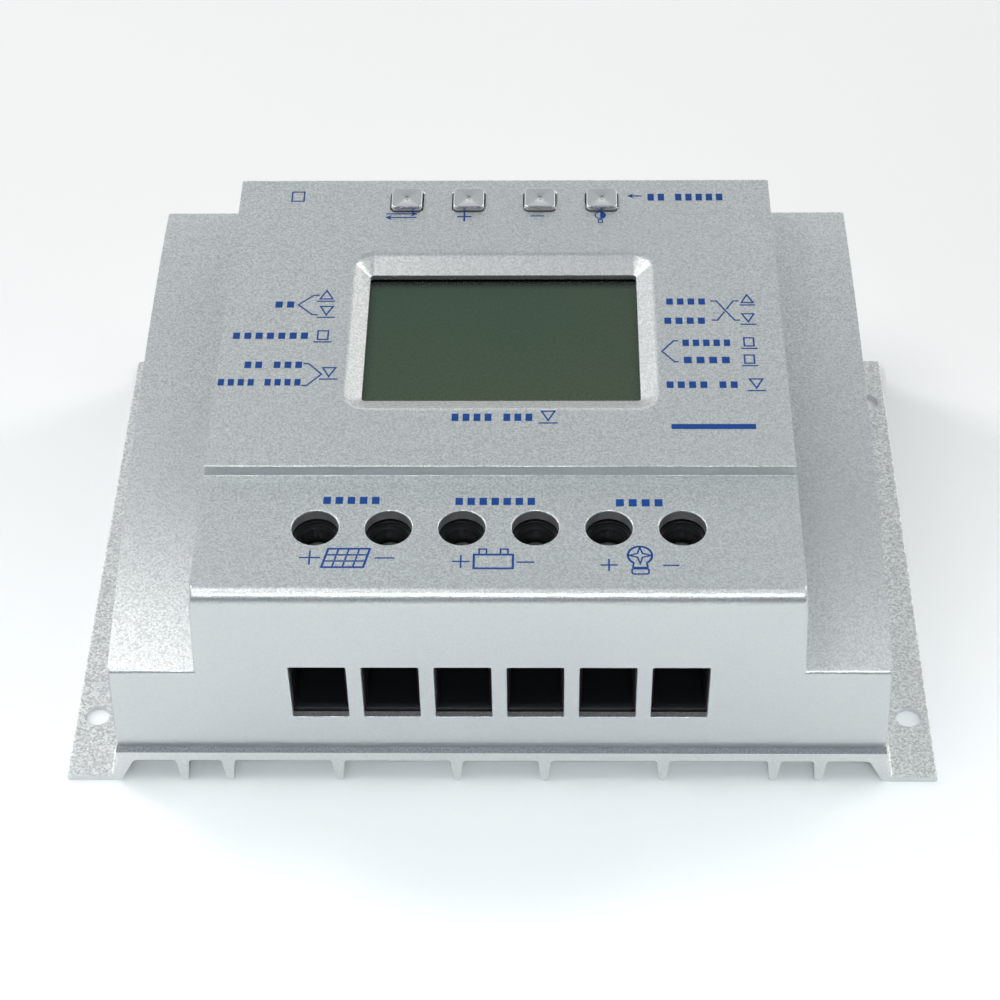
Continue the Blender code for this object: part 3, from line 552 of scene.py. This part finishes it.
def cover_room():
    """The room inside the cover, less the display's frame."""
    below = RIM_Z - 5
    front, rear = FRONT_Y + FRONT_WALL, REAR_Y - SIDE_WALL
    low, high = LOW_TOP_Z - TOP_WALL, HIGH_TOP_Z - TOP_WALL
    step_y = STEP_Y + TOP_WALL
    bm = bmesh.new()
    drafted(bm, [(front, below), (front, low), (step_y, low), (step_y + STEP_RUN, high), (rear, high),
                 (rear, below)], block_half, SIDE_WALL)
    room = solid("room", bm)

    bm = bmesh.new()
    roof = wing_roof(SIDE_WALL, front + 0.1, rear - 0.1, 32)
    drafted(bm, [(front + 0.1, below - 1)] + roof + [(rear - 0.1, below - 1)], wing_half, SIDE_WALL)
    combine(room, [solid("room_wings", bm)], "UNION")

    bm = bmesh.new()
    half_x, half_y = (half + wall for half, wall in zip(WINDOW_HALF, FRAME_WALL))
    add_box(bm, (-half_x, half_x), (DISPLAY_Y - half_y, DISPLAY_Y + half_y), (WINDOW_LIP_Z, HIGH_TOP_Z))
    return combine(room, [solid("window_frame", bm)])


def display_dish():
    """The sloping frame round the display, with its outer edge eased into the top, and the window."""
    centre = (0, DISPLAY_Y)
    floor = HIGH_TOP_Z - DISH_DEPTH
    slopes = [math.atan2(DISH_DEPTH, outer - inner) for outer, inner in zip(DISH_HALF, WINDOW_HALF)]
    eased = 0.42
    bends = [eased / (1 - math.cos(slope)) for slope in slopes]
    rings = []

    def ring(half_x, half_y, radius, z):
        rings.append(rounded_ring(half_x, half_y, radius, z, centre, 12))

    lip = 0.2
    ring(*WINDOW_HALF, WINDOW_RADIUS, WINDOW_LIP_Z - 2)
    ring(*WINDOW_HALF, WINDOW_RADIUS, floor - lip)
    for outward, down in reversed(quarter(lip, 3)):
        halves = [half + outward for half in WINDOW_HALF]
        ring(*halves, WINDOW_RADIUS + outward, floor - down + 0.02)
    steps = 8
    for step in range(steps, -1, -1):
        down = eased * step / steps
        halves = []
        for half, slope, bend in zip(DISH_HALF, slopes, bends):
            lean = math.acos(1 - down / bend)
            halves.append(half + bend * (math.tan(slope / 2) - math.sin(lean)))
        ring(*halves, DISH_RADIUS + halves[0] - DISH_HALF[0], HIGH_TOP_Z - down)
    ring(*halves, DISH_RADIUS + halves[0] - DISH_HALF[0], HIGH_TOP_Z + 1)
    bm = bmesh.new()
    add_loft(bm, rings)
    return solid("dish", bm)


def round_hole(bm, centre, radius, top, ease, depth):
    """A cutter for a hole down from top, its edge eased by a quarter round."""
    rings = [circle(radius, top - depth, centre)]
    rings += [circle(radius + outward, top - down, centre) for outward, down in reversed(quarter(ease))]
    rings.append(circle(radius + ease, top + 1, centre))
    add_loft(bm, rings)


def cover_openings():
    bm = bmesh.new()
    half_x, half_y = (half + CAP_GAP for half in CAP_HALF)
    radius, ease = CAP_RADIUS + CAP_GAP, 0.25
    for centre in BUTTON_SPOTS:
        rings = [rounded_ring(half_x, half_y, radius, HIGH_TOP_Z - TOP_WALL - 1, centre)]
        for outward, down in reversed(quarter(ease, 4)):
            rings.append(rounded_ring(half_x + outward, half_y + outward, radius + outward,
                                      HIGH_TOP_Z - down, centre))
        rings.append(rounded_ring(half_x + ease, half_y + ease, radius + ease, HIGH_TOP_Z + 1, centre))
        add_loft(bm, rings)
    for centre in WAY_SPOTS:
        round_hole(bm, centre, DRIVER_HOLE_RADIUS, LOW_TOP_Z, 0.35, TOP_WALL + 1)
    half_z, radius, ease = (SLOT_Z[1] - SLOT_Z[0]) / 2, 0.35, 0.2
    for x, _ in WAY_SPOTS:
        centre = (x, middle(SLOT_Z))
        ring = rounded_ring(SLOT_HALF, half_z, radius, 0, centre, 4)
        rings = [upright(ring, FRONT_Y + FRONT_WALL + 1)]
        for outward, down in reversed(quarter(ease, 4)):
            ring = rounded_ring(SLOT_HALF + outward, half_z + outward, radius + outward, 0, centre, 4)
            rings.append(upright(ring, FRONT_Y + down))
        ring = rounded_ring(SLOT_HALF + ease, half_z + ease, radius + ease, 0, centre, 4)
        rings.append(upright(ring, FRONT_Y - 1))
        add_loft(bm, rings)
    return solid("openings", bm)


def cover():
    item = cover_outside()
    combine(item, [cover_room(), display_dish(), cover_openings()])
    finish_piece(item, COVER_PAINT, "controller", "cover", "top_cover")


# ---------------------------------------------------------------- heat sink

def sink_corner(side):
    """Leg, foot and flange of one side, as outline corners from the plate's underside to its top."""
    edge = 0.35
    corners = [(LEG_TOP_X, PLATE_UNDER_Z, 0.8), (LEG_FOOT_X, 0, edge), (SINK_HALF_WIDTH, 0, edge),
               (SINK_HALF_WIDTH, FLANGE_THICKNESS, edge), (FLANGE_ROOT_X, FLANGE_THICKNESS, 0.6),
               (PLATE_HALF_WIDTH, PLATE_UNDER_Z, 0.5), (PLATE_HALF_WIDTH, PLATE_TOP_Z, 0.25)]
    return corners if side > 0 else [(-x, z, radius) for x, z, radius in reversed(corners)]


def fin_corners(x):
    root = 0.5
    return [(x - FIN_ROOT, PLATE_UNDER_Z, root), (x - FIN_TIP, FIN_TIP_Z, FIN_TIP * 0.82),
            (x + FIN_TIP, FIN_TIP_Z, FIN_TIP * 0.82), (x + FIN_ROOT, PLATE_UNDER_Z, root)]


def heat_sink():
    corners = sink_corner(-1)
    for x in sorted(FIN_X + [-x for x in FIN_X]):
        corners += fin_corners(x)
    corners += sink_corner(1)
    outline = fillet(corners, 5)
    ease = 0.15
    bm = bmesh.new()
    end_y = (-SINK_HALF_LENGTH, SINK_HALF_LENGTH)
    add_loft(bm, [[Vector((x, y, z)) for x, z in outline] for y in end_y])
    ends = [edge for edge in bm.edges if abs(edge.verts[0].co.y - edge.verts[1].co.y) < 1]
    bmesh.ops.bevel(bm, geom=ends, offset=ease, segments=2, profile=0.5, affect="EDGES")
    item = solid("finned_sink", bm)

    bm = bmesh.new()
    for centre in [(x, y) for x in (-MOUNT_HOLE_X, MOUNT_HOLE_X) for y in MOUNT_HOLE_Y]:
        rings = [circle(MOUNT_HOLE_RADIUS + MOUNT_HOLE_CHAMFER, z, centre) for z in (-1, 0)]
        rings.append(circle(MOUNT_HOLE_RADIUS, MOUNT_HOLE_CHAMFER, centre))
        for outward, down in reversed(quarter(MOUNT_HOLE_EASE)):
            rings.append(circle(MOUNT_HOLE_RADIUS + outward, FLANGE_THICKNESS - down, centre))
        rings.append(circle(MOUNT_HOLE_RADIUS + MOUNT_HOLE_EASE, FLANGE_THICKNESS + 1, centre))
        add_loft(bm, rings)
    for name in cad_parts:
        if name.startswith("cover_screw"):
            rings = [(3.9, PLATE_UNDER_Z - 0.5), (3.4, PLATE_UNDER_Z + 0.4),
                     (SCREW_HOLE_RADIUS, PLATE_UNDER_Z + 1.9), (SCREW_HOLE_RADIUS, PLATE_TOP_Z + 1)]
            add_loft(bm, [circle(radius, z, spot(name), 48) for radius, z in rings])
        if name.startswith("board_screw"):
            ends = (PLATE_TOP_Z - 1.9, PLATE_TOP_Z + 1)
            add_loft(bm, [circle(SCREW_HOLE_RADIUS, z, spot(name), 48) for z in ends])
    combine(item, [solid("sink_holes", bm)])
    finish_piece(item, SINK_METAL, "controller", "heat_sink", "heat_sink")


# ---------------------------------------------------------------- buttons

def button(name, centre):
    """A cap with rounded edges and a shallow funnel to a small pip, on its flange and stem."""
    _, _, (stem_z, top) = span(name + "_button")
    half_x, half_y = CAP_HALF
    low, high = BUTTON_FLANGE_Z
    stem = (STEM_HALF, STEM_HALF, STEM_RADIUS)
    flange = (half_x + BUTTON_FLANGE_OUT, half_y + BUTTON_FLANGE_OUT, STEM_RADIUS)
    rings = [(*stem, stem_z), (*stem, low), (*flange, low), (*flange, high),
             (half_x, half_y, CAP_RADIUS, high)]
    for down, inward in quarter(CAP_EDGE, 6):
        rings.append((half_x - inward, half_y - inward, CAP_RADIUS - inward, top - down))
    rings.append((half_x - 0.6, half_y - 0.6, 0.5, top - 0.01))
    funnel = [(2.2, 2.1, 0.9, 0.12), (1.1, 1.1, 0.8, 0.28), (0.6, 0.6, 0.55, 0.4),
              (0.42, 0.42, 0.38, 0.5)]
    pip = [(0.3, 0.3, 0.27, 0.5), (0.22, 0.22, 0.2, 0.32), (0.12, 0.12, 0.11, 0.26)]
    rings += [(across, along, radius, top - down) for across, along, radius, down in funnel + pip]
    bm = bmesh.new()
    add_loft(bm, [rounded_ring(*ring, centre) for ring in rings])
    item = solid(name + "_cap", bm)
    finish_piece(item, CAP_PAINT, name + "_button", "button", name + "_button", angle=50)


# ---------------------------------------------------------------- terminals

def terminal_block():
    """The moulded block: six cells with funnel mouths, collared screw wells and grooves between."""
    bm = bmesh.new()
    add_box(bm, BLOCK_X, BLOCK_Y, BLOCK_Z)
    round_edges(bm, lambda edge: True, 0.4, 3)
    item = solid("terminal_housing", bm)

    front, (under, top) = BLOCK_Y[0], BLOCK_Z
    floor_z, cell_top = CELL_Z
    bm = bmesh.new()
    for x, _ in WAY_SPOTS:
        add_box(bm, (x - CELL_HALF, x + CELL_HALF), CELL_Y, CELL_Z)
    cells = solid("cells", bm)
    bm = bmesh.new()
    for x, _ in WAY_SPOTS:
        centre = (x, (floor_z + MOUTH_TOP_Z) / 2)
        half_z = (MOUTH_TOP_Z - floor_z) / 2
        rings = []
        for half, y in ((MOUTH_HALF, CELL_Y[0] + 1), (MOUTH_HALF, front + 1.2), (6.0, front + 0.3),
                        (6.2, front - 1)):
            ring = rounded_ring(half, half_z + half - MOUTH_HALF, 0.4, 0, centre, 4)
            rings.append(upright(ring, y))
        add_loft(bm, rings)
    mouths = solid("mouths", bm)
    bm = bmesh.new()
    collar = [(0, WELL_FLOOR_Z), (0, top - 1.3), (0.35, top - 0.9), (0.5, top - 0.55), (0.9, top - 0.5),
              (0.9, top - 0.15), (1.05, top), (1.05, top + 1)]
    for centre in WAY_SPOTS:
        add_loft(bm, [circle(WELL_RADIUS + outward, z, centre, 64) for outward, z in collar])
    wells = solid("wells", bm)
    bm = bmesh.new()
    for centre in WAY_SPOTS:
        ends = (cell_top - 1, WELL_FLOOR_Z + 1)
        add_loft(bm, [circle(SHANK_HOLE_RADIUS, z, centre, 48) for z in ends])
    shanks = solid("shanks", bm)
    bm = bmesh.new()
    for x, _ in WAY_SPOTS:
        add_box(bm, (x - BAR_WAY_HALF, x + BAR_WAY_HALF), BAR_WAY_Y, (under - 1, floor_z + 1))
    bars = solid("bar_ways", bm)
    bm = bmesh.new()
    for first, second in zip(WAY_SPOTS, WAY_SPOTS[1:]):
        x = (first[0] + second[0]) / 2
        wide = (x - GROOVE_HALF, x + GROOVE_HALF)
        add_box(bm, wide, (front - 1, BLOCK_Y[1] + 1), (top - GROOVE_DEPTH, top + 1))
        add_box(bm, wide, (front - 1, front + GROOVE_DEPTH), (under - 1, top - 1))
    grooves = solid("grooves", bm)
    combine(item, [cells, mouths, wells, shanks, bars, grooves])
    finish_piece(item, BLOCK_PLASTIC, "controller", "terminal_block", "terminal_block")


def clamp_screw(way, centre):
    """A slotted pan-head screw with a threaded shank."""
    low, high = SCREW_Z
    neck = high - HEAD_HEIGHT
    root, crest = THREAD_RADII
    rings = [(1.7, low), (2.1, low + 0.5)]
    for turn in range(THREAD_TURNS):
        base = low + 0.6 + turn * (neck - 1.0 - low) / THREAD_TURNS
        rings += [(root, base), (crest, base + THREAD_RISE)]
    rings += [(root, neck - 0.4), (2.4, neck - 0.05), (HEAD_RADIUS, neck)]
    rings += [(HEAD_RADIUS - inward, high - down) for inward, down in reversed(quarter(HEAD_EDGE, 6))]
    bm = bmesh.new()
    add_loft(bm, [circle(radius, z, centre, 48) for radius, z in rings])
    item = solid("slotted_screw_" + way, bm)
    bm = bmesh.new()
    x, y = centre
    add_box(bm, (x - 5, x + 5), (y - DRIVER_SLOT_HALF, y + DRIVER_SLOT_HALF),
            (high - DRIVER_SLOT_DEPTH, high + 1))
    combine(item, [solid("slot", bm)])
    finish_piece(item, SCREW_STEEL, "clamp_screw_" + way, "screw", "clamp_screw_" + way)


def wire_cage(way, centre):
    """A folded steel cage: a rounded box open at both ends, its thick roof tapped for the screw."""
    x, _ = centre
    (left, right), (front, rear), (low, high) = CAGE
    half = (right - left) / 2
    bm = bmesh.new()
    add_box(bm, (x - half, x + half), (front, rear), (low, high))
    round_edges(bm, lambda edge: True, 0.45, 3)
    item = solid("steel_cage_" + way, bm)
    bm = bmesh.new()
    throat = (low + CAGE_FLOOR, high - CAGE_ROOF)
    inner, half_z = half - CAGE_WALL, (throat[1] - throat[0]) / 2
    rings = []
    for flare, y in ((0, rear + 1), (0, front + 0.5), (0.25, front - 0.02), (0.25, front - 1)):
        ring = rounded_ring(inner + flare, half_z + flare, 0.6, 0, (x, middle(throat)), 5)
        rings.append(upright(ring, y))
    add_loft(bm, rings)
    throat_cut = solid("throat", bm)
    bm = bmesh.new()
    add_loft(bm, [circle(SHANK_HOLE_RADIUS, z, centre, 48) for z in (throat[1] - 1, high + 1)])
    combine(item, [throat_cut, solid("tapped_hole", bm)])
    finish_piece(item, CAGE_STEEL, "wire_cage_" + way, "cage", "wire_cage_" + way)


# ---------------------------------------------------------------- printed marks

INK_HEIGHT = 0.03
FINE = 0.38
BOLD = 0.5


class Print:
    """Ink on one level of the cover, as thin closed plates."""

    def __init__(self, z):
        self.bm = bmesh.new()
        self.levels = (z - 0.02, z + INK_HEIGHT)

    def shape(self, outline):
        add_loft(self.bm, [[Vector((x, y, z)) for x, y in outline] for z in self.levels])

    def bar(self, x, y, long, high):
        """A plain rectangle about a centre."""
        a, b = long / 2, high / 2
        self.shape([(x - a, y - b), (x + a, y - b), (x + a, y + b), (x - a, y + b)])

    def line(self, points, width=FINE, closed=False):
        """A stroke of even width, with mitred joins."""
        count = len(points)
        sides = []
        for index in range(count):
            here = Vector(points[index])
            before = here - Vector(points[index - 1]) if index or closed else None
            after = Vector(points[(index + 1) % count]) - here if index < count - 1 or closed else None
            before, after = before or after, after or before
            one, two = (Vector((-d.y, d.x)).normalized() for d in (before, after))
            mitre = (one + two).normalized()
            reach = width / 2 / max(0.35, mitre.dot(one))
            sides.append((here + mitre * reach, here - mitre * reach))
        low, high = self.levels
        add_loft(self.bm, [[Vector((*a, low)), Vector((*b, low)), Vector((*b, high)), Vector((*a, high))]
                           for a, b in sides], closed)

    def plus(self, x, y, long, high, width=FINE):
        a, b, w = long / 2, high / 2, width / 2
        corners = [(a, -w), (a, w), (w, w), (w, b), (-w, b), (-w, w), (-a, w), (-a, -w), (-w, -w),
                   (-w, -b), (w, -b), (w, -w)]
        self.shape([(x + dx, y + dy) for dx, dy in corners])

    def arrow(self, tail, head, y):
        """A level arrow with a swept-back head, as one outline."""
        way = 1 if head > tail else -1
        w, spread, back = FINE / 2, 0.95, head - way * 1.6
        notch = back + way * 0.35
        self.shape([(tail, y - w), (notch, y - w), (back, y - spread), (head, y), (back, y + spread),
                    (notch, y + w), (tail, y + w)])

    def words(self, start, end, y, counts, height=3.5):
        """Rows of small blocks that stand for words: counts holds the number of blocks in each."""
        pitch = (end - start) / (sum(counts) + 0.7 * (len(counts) - 1))
        x = start
        for count in counts:
            for _ in range(count):
                self.bar(x + pitch / 2, y, pitch * 0.62, height * 0.62)
                x += pitch
            x += 0.7 * pitch

    def unit(self, x, y, kind, size=3.0, underline=4.3):
        """A small sign over a rule: a peak, a dip or a box."""
        half = size / 2
        outlines = {
            "peak": [(x - half, y - half), (x + half, y - half), (x, y + half)],
            "dip": [(x - half, y + half), (x, y - half), (x + half, y + half)],
            "box": [(x - half * 0.8, y - half), (x + half * 0.8, y - half), (x + half * 0.8, y + half),
                    (x - half * 0.8, y + half)],
        }
        self.line(outlines[kind], FINE, True)
        self.bar(x, y - half - 0.85, underline, FINE)

    def finish(self, name):
        finish_piece(solid(name, self.bm), INK, "controller", "cover")


def high_marks():
    p = Print(HIGH_TOP_Z)
    # Row behind the display.
    p.line([(-52.8, 60.6), (-49.8, 60.6), (-49.8, 64.2), (-52.8, 64.2)], FINE, True)
    p.arrow(-29.1, -21.4, 55.6)
    p.arrow(-21.6, -29.3, 54.2)
    p.plus(-9.8, 54.5, 3.6, 3.7, 0.45)
    p.bar(8.2, 54.7, 3.4, FINE)
    half_lamp(p, 23.65, 54.95)
    p.arrow(34.0, 30.4, 62.4)
    p.words(35.0, 54.5, 61.9, (2, 5), 4.2)
    # Left group.
    p.words(-54.4, -48.9, 21.9, (2,))
    p.line([(-43.6, 25.2), (-44.9, 25.2), (-48.4, 21.8), (-44.9, 18.3), (-43.6, 18.3)])
    p.unit(-41.9, 25.4, "peak")
    p.unit(-41.6, 19.7, "dip")
    p.words(-63.5, -44.9, 10.9, (7,))
    p.unit(-41.9, 11.1, "box")
    p.words(-59.9, -45.6, 0.9, (2, 3))
    p.words(-65.5, -45.6, -5.0, (4, 4))
    p.line([(-45.8, 1.3), (-44.6, 1.3), (-41.4, -2.3), (-44.6, -6.1), (-45.8, -6.1)])
    p.unit(-39.7, -1.6, "dip")
    # In front of the display.
    p.words(-11.5, 7.7, -16.6, (4, 3), 3.8)
    p.unit(10.8, -16.1, "dip")
    # Right group.
    p.words(38.3, 48.4, 22.8, (4,))
    p.words(37.6, 48.1, 16.0, (4,))
    p.line([(49.2, 23.0), (50.6, 23.0), (54.6, 16.2), (55.9, 16.2)])
    p.line([(49.2, 16.2), (50.6, 16.2), (52.35, 19.15)])
    p.line([(52.85, 20.05), (54.6, 23.0), (55.9, 23.0)])
    p.unit(57.9, 23.8, "peak", 2.8, 3.8)
    p.unit(57.8, 17.0, "dip", 2.8, 3.8)
    p.line([(41.0, 9.0), (40.0, 9.0), (37.2, 5.4), (40.0, 1.8), (41.0, 1.8)])
    p.words(41.6, 53.6, 8.3, (5,))
    p.words(41.6, 53.3, 2.4, (4,))
    p.unit(57.5, 8.6, "box", 2.8, 3.8)
    p.unit(57.3, 2.7, "box", 2.8, 3.8)
    p.words(37.4, 54.6, -5.9, (4, 2))
    p.unit(58.4, -5.5, "dip")
    p.bar(48.0, -19.6, 19.0, 1.6)
    p.finish("printed_marks_high")


def half_lamp(p, x, y):
    """A lamp sign: a ring with one half filled, over its socket."""
    radius = 1.25
    half = arc((x, y), radius + FINE / 2, -90, 90, 16)
    p.shape(half)
    p.line([(x, y - radius)] + arc((x, y), radius, 270, 90, 16)[1:-1] + [(x, y + radius)], FINE * 0.8)
    socket = [(x - 0.5, y - 1.7), (x - 0.5, y - 2.9), (x + 0.5, y - 2.9), (x + 0.5, y - 1.7)]
    p.line(socket, FINE * 0.75, True)


def panel_sign(p, x, y):
    """A solar panel seen aslant: a leaning grid of four by three cells."""
    wide, high, lean = 9.0, 5.4, 1.2

    def at(across, up):
        return x - wide / 2 + across * wide + (up - 0.5) * lean, y + (up - 0.5) * high

    p.line([at(0, 0), at(1, 0), at(1, 1), at(0, 1)], BOLD, True)
    for row in (1 / 3, 2 / 3):
        p.line([at(0.03, row), at(0.97, row)], FINE)
    for column in (0.25, 0.5, 0.75):
        for row in range(3):
            p.line([at(column, row / 3 + 0.05), at(column, (row + 1) / 3 - 0.05)], FINE)


def battery_sign(p, x, y):
    """A battery: a box with two posts on its top edge."""
    wide, high = 8.4, 4.0
    left, right, low, top = x - wide / 2, x + wide / 2, y - high / 2 - 0.7, y + high / 2 - 0.7
    p.line([(left, low), (right, low), (right, top), (left, top)], BOLD, True)
    for post in (left + 1.9, right - 1.9):
        near, far = post - 0.8, post + 0.8
        p.line([(near, top + 0.3), (near, top + 1.6), (far, top + 1.6), (far, top + 0.3)], FINE)


def lamp_sign(p, x, y):
    """A bulb with a four-pointed star of light in it, over its socket."""
    radius, centre = 2.6, y + 2.0
    p.line(arc((x, centre), radius, -58, 238, 28), BOLD)
    star = []
    for index in range(8):
        reach = radius * (0.9 if index % 2 == 0 else 0.3)
        angle = math.radians(45 * index)
        star.append((x + reach * math.cos(angle), centre + reach * math.sin(angle)))
    p.line(star, FINE, True)
    neck = [(x - 1.4, centre - 2.2), (x - 1.6, y - 1.5), (x + 1.6, y - 1.5), (x + 1.4, centre - 2.2)]
    p.line(neck, FINE)
    p.line(fillet([(x - 1.8, y - 3.4, 0.4), (x + 1.8, y - 3.4, 0.4), (x + 1.8, y - 1.9, 0.4),
                   (x - 1.8, y - 1.9, 0.4)], 3), FINE, True)


def low_marks():
    p = Print(LOW_TOP_Z)
    p.words(-39.2, -25.8, -40.3, (5,))
    p.words(-10.1, 8.4, -40.6, (7,))
    p.words(25.1, 36.4, -41.0, (4,))
    p.plus(-40.6, -57.4, 4.6, 4.1)
    panel_sign(p, -32.8, -57.5)
    p.bar(-24.4, -57.5, 4.2, FINE)
    p.plus(-8.0, -58.5, 3.8, 3.8)
    battery_sign(p, -1.0, -57.8)
    p.bar(5.9, -58.7, 3.8, FINE)
    p.plus(23.8, -59.5, 3.6, 3.5)
    lamp_sign(p, 30.5, -58.7)
    p.bar(37.1, -59.6, 3.5, FINE)
    p.finish("printed_marks_low")


# ---------------------------------------------------------------- studio

def floor():
    bm = bmesh.new()
    bmesh.ops.create_grid(bm, x_segments=1, y_segments=1, size=3000)
    bmesh.ops.translate(bm, vec=Vector((0, 0, -0.05)), verts=bm.verts)
    item = solid("studio_floor", bm)
    n = Nodes(bpy.data.materials.new("floor_pale"))
    patches = n.ramp(n.noise(0.003, 2.0, 0.5), 0.3, 0.7)
    tone = n.mix(patches, (0.96, 0.96, 0.96, 1), (0.98, 0.98, 0.98, 1))
    n.set(Base_Color=tone, Roughness=0.9, Specular_IOR_Level=0.1)
    item.data.materials.append(n.owner)


def softbox(name, place, size, power, colour, aim, spread):
    light = bpy.data.lights.new(name, "AREA")
    light.spread = math.radians(spread)
    light.shape = "RECTANGLE"
    light.size, light.size_y = size
    light.energy = power
    light.color = colour
    item = bpy.data.objects.new(name, light)
    item.location = place
    item.rotation_mode = "QUATERNION"
    item.rotation_quaternion = (Vector(aim) - Vector(place)).to_track_quat("-Z", "Y")
    bpy.context.scene.collection.objects.link(item)


# Name, place, size, power, colour, aim and spread in degrees; lengths are in metres.
LIGHTS = [
    ("overhead_left", (-0.38, -0.14, 1.1), (0.5, 0.45), 2.85, (1, 1, 0.95), (-0.05, -0.03, 0.04), 180),
    ("overhead_right", (0.38, -0.14, 1.1), (0.5, 0.45), 1.2, (0.97, 1, 0.93), (0.05, -0.03, 0.04), 180),
    ("corner_left", (-0.75, 0.5, 0.88), (0.25, 0.25), 3.3, (1, 0.97, 0.95), (0, 0, 0.06), 180),
    ("corner_right", (0.75, 0.5, 0.88), (0.25, 0.25), 2.2, (1, 0.96, 0.89), (0, 0, 0.06), 180),
    ("floor_front", (0.0, -0.5, 0.55), (1.4, 0.08), 0.42, (0.88, 0.96, 1.0), (0.0, -0.13, 0.0), 30),
    ("rear_right", (1.2, 1.1, 0.5), (0.9, 0.6), 0.86, (1, 0.98, 0.88), (0, 0, 0.02), 180),
    ("left_fill", (-1.1, -0.9, 0.9), (1.0, 0.8), 1.3, (0.72, 0.84, 1.0), (0, 0, 0.02), 180),
    ("right_fill", (1.1, -0.9, 0.9), (1.0, 0.8), 0.9, (0.72, 0.84, 1.0), (0, 0, 0.02), 180),
]
# Stops, each the sine of its height above the level and a colour.
ROOM = [(0.2, (1.1, 1.1, 1.1)), (0.55, (0.482, 0.527, 0.54)), (0.8, (0.482, 0.527, 0.54)),
        (0.98, (0.01, 0.02, 0.08))]
# The dark patch to the front: where it is, its colour and the cosines where it starts and is full.
FRONT_WAY = (0.0, -0.95, 0.31)
FRONT_TONE = (0.06, 0.06, 0.07)
FRONT_DIM = (0.4, 0.75)


def surroundings():
    """A pale room whose brightness changes with height, and that is dark to the front."""
    n = Nodes(bpy.data.worlds.new("studio"), "Background", "Generated")
    height = n("ShaderNodeSeparateXYZ", Vector=n.place).outputs[2]
    rise = n("ShaderNodeValToRGB", Fac=height)
    stops = rise.color_ramp.elements
    for place, colour in ROOM[1:-1]:
        stops.new(place)
    for stop, (place, colour) in zip(stops, ROOM):
        stop.position = place
        stop.color = (*colour, 1.0)
    facing = n("ShaderNodeVectorMath", {"operation": "DOT_PRODUCT"}, _0=n.place, _1=FRONT_WAY)
    dim = n.ramp(facing.outputs["Value"], *FRONT_DIM)
    n.set(Color=n.mix(dim, rise.outputs["Color"], (*FRONT_TONE, 1)))
    bpy.context.scene.world = n.owner


def studio():
    floor()
    for light in LIGHTS:
        softbox(*light)
    surroundings()
    bpy.context.scene.view_settings.view_transform = "Standard"


def camera():
    """The viewpoint: in front, 46 degrees above the level, turned and tipped by a degree or so."""
    target = Vector((-0.634, -9.33, 30.0)) * MM
    distance = 577.571 * MM
    elevation, yaw, roll = (math.radians(angle) for angle in (45.97, -1.539, -1.094))
    forward = Vector((math.sin(yaw) * math.cos(elevation), math.cos(yaw) * math.cos(elevation),
                      -math.sin(elevation)))
    level = forward.cross(Vector((0, 0, 1))).normalized()
    above = level.cross(forward)
    right = level * math.cos(roll) + above * math.sin(roll)
    up = above * math.cos(roll) - level * math.sin(roll)
    lens = bpy.data.cameras.new("camera")
    lens.sensor_width = 36.0
    lens.lens = 87.305
    item = bpy.data.objects.new("camera", lens)
    item.matrix_world = Matrix.Translation(target - forward * distance) @ Matrix(
        (right, up, -forward)).transposed().to_4x4()
    bpy.context.scene.collection.objects.link(item)
    bpy.context.scene.camera = item


cover()
heat_sink()
for name, centre in zip(BUTTONS, BUTTON_SPOTS):
    button(name, centre)
terminal_block()
for way, centre in zip(WAYS, WAY_SPOTS):
    clamp_screw(way, centre)
    wire_cage(way, centre)
high_marks()
low_marks()
dress_nodes()
studio()
camera()
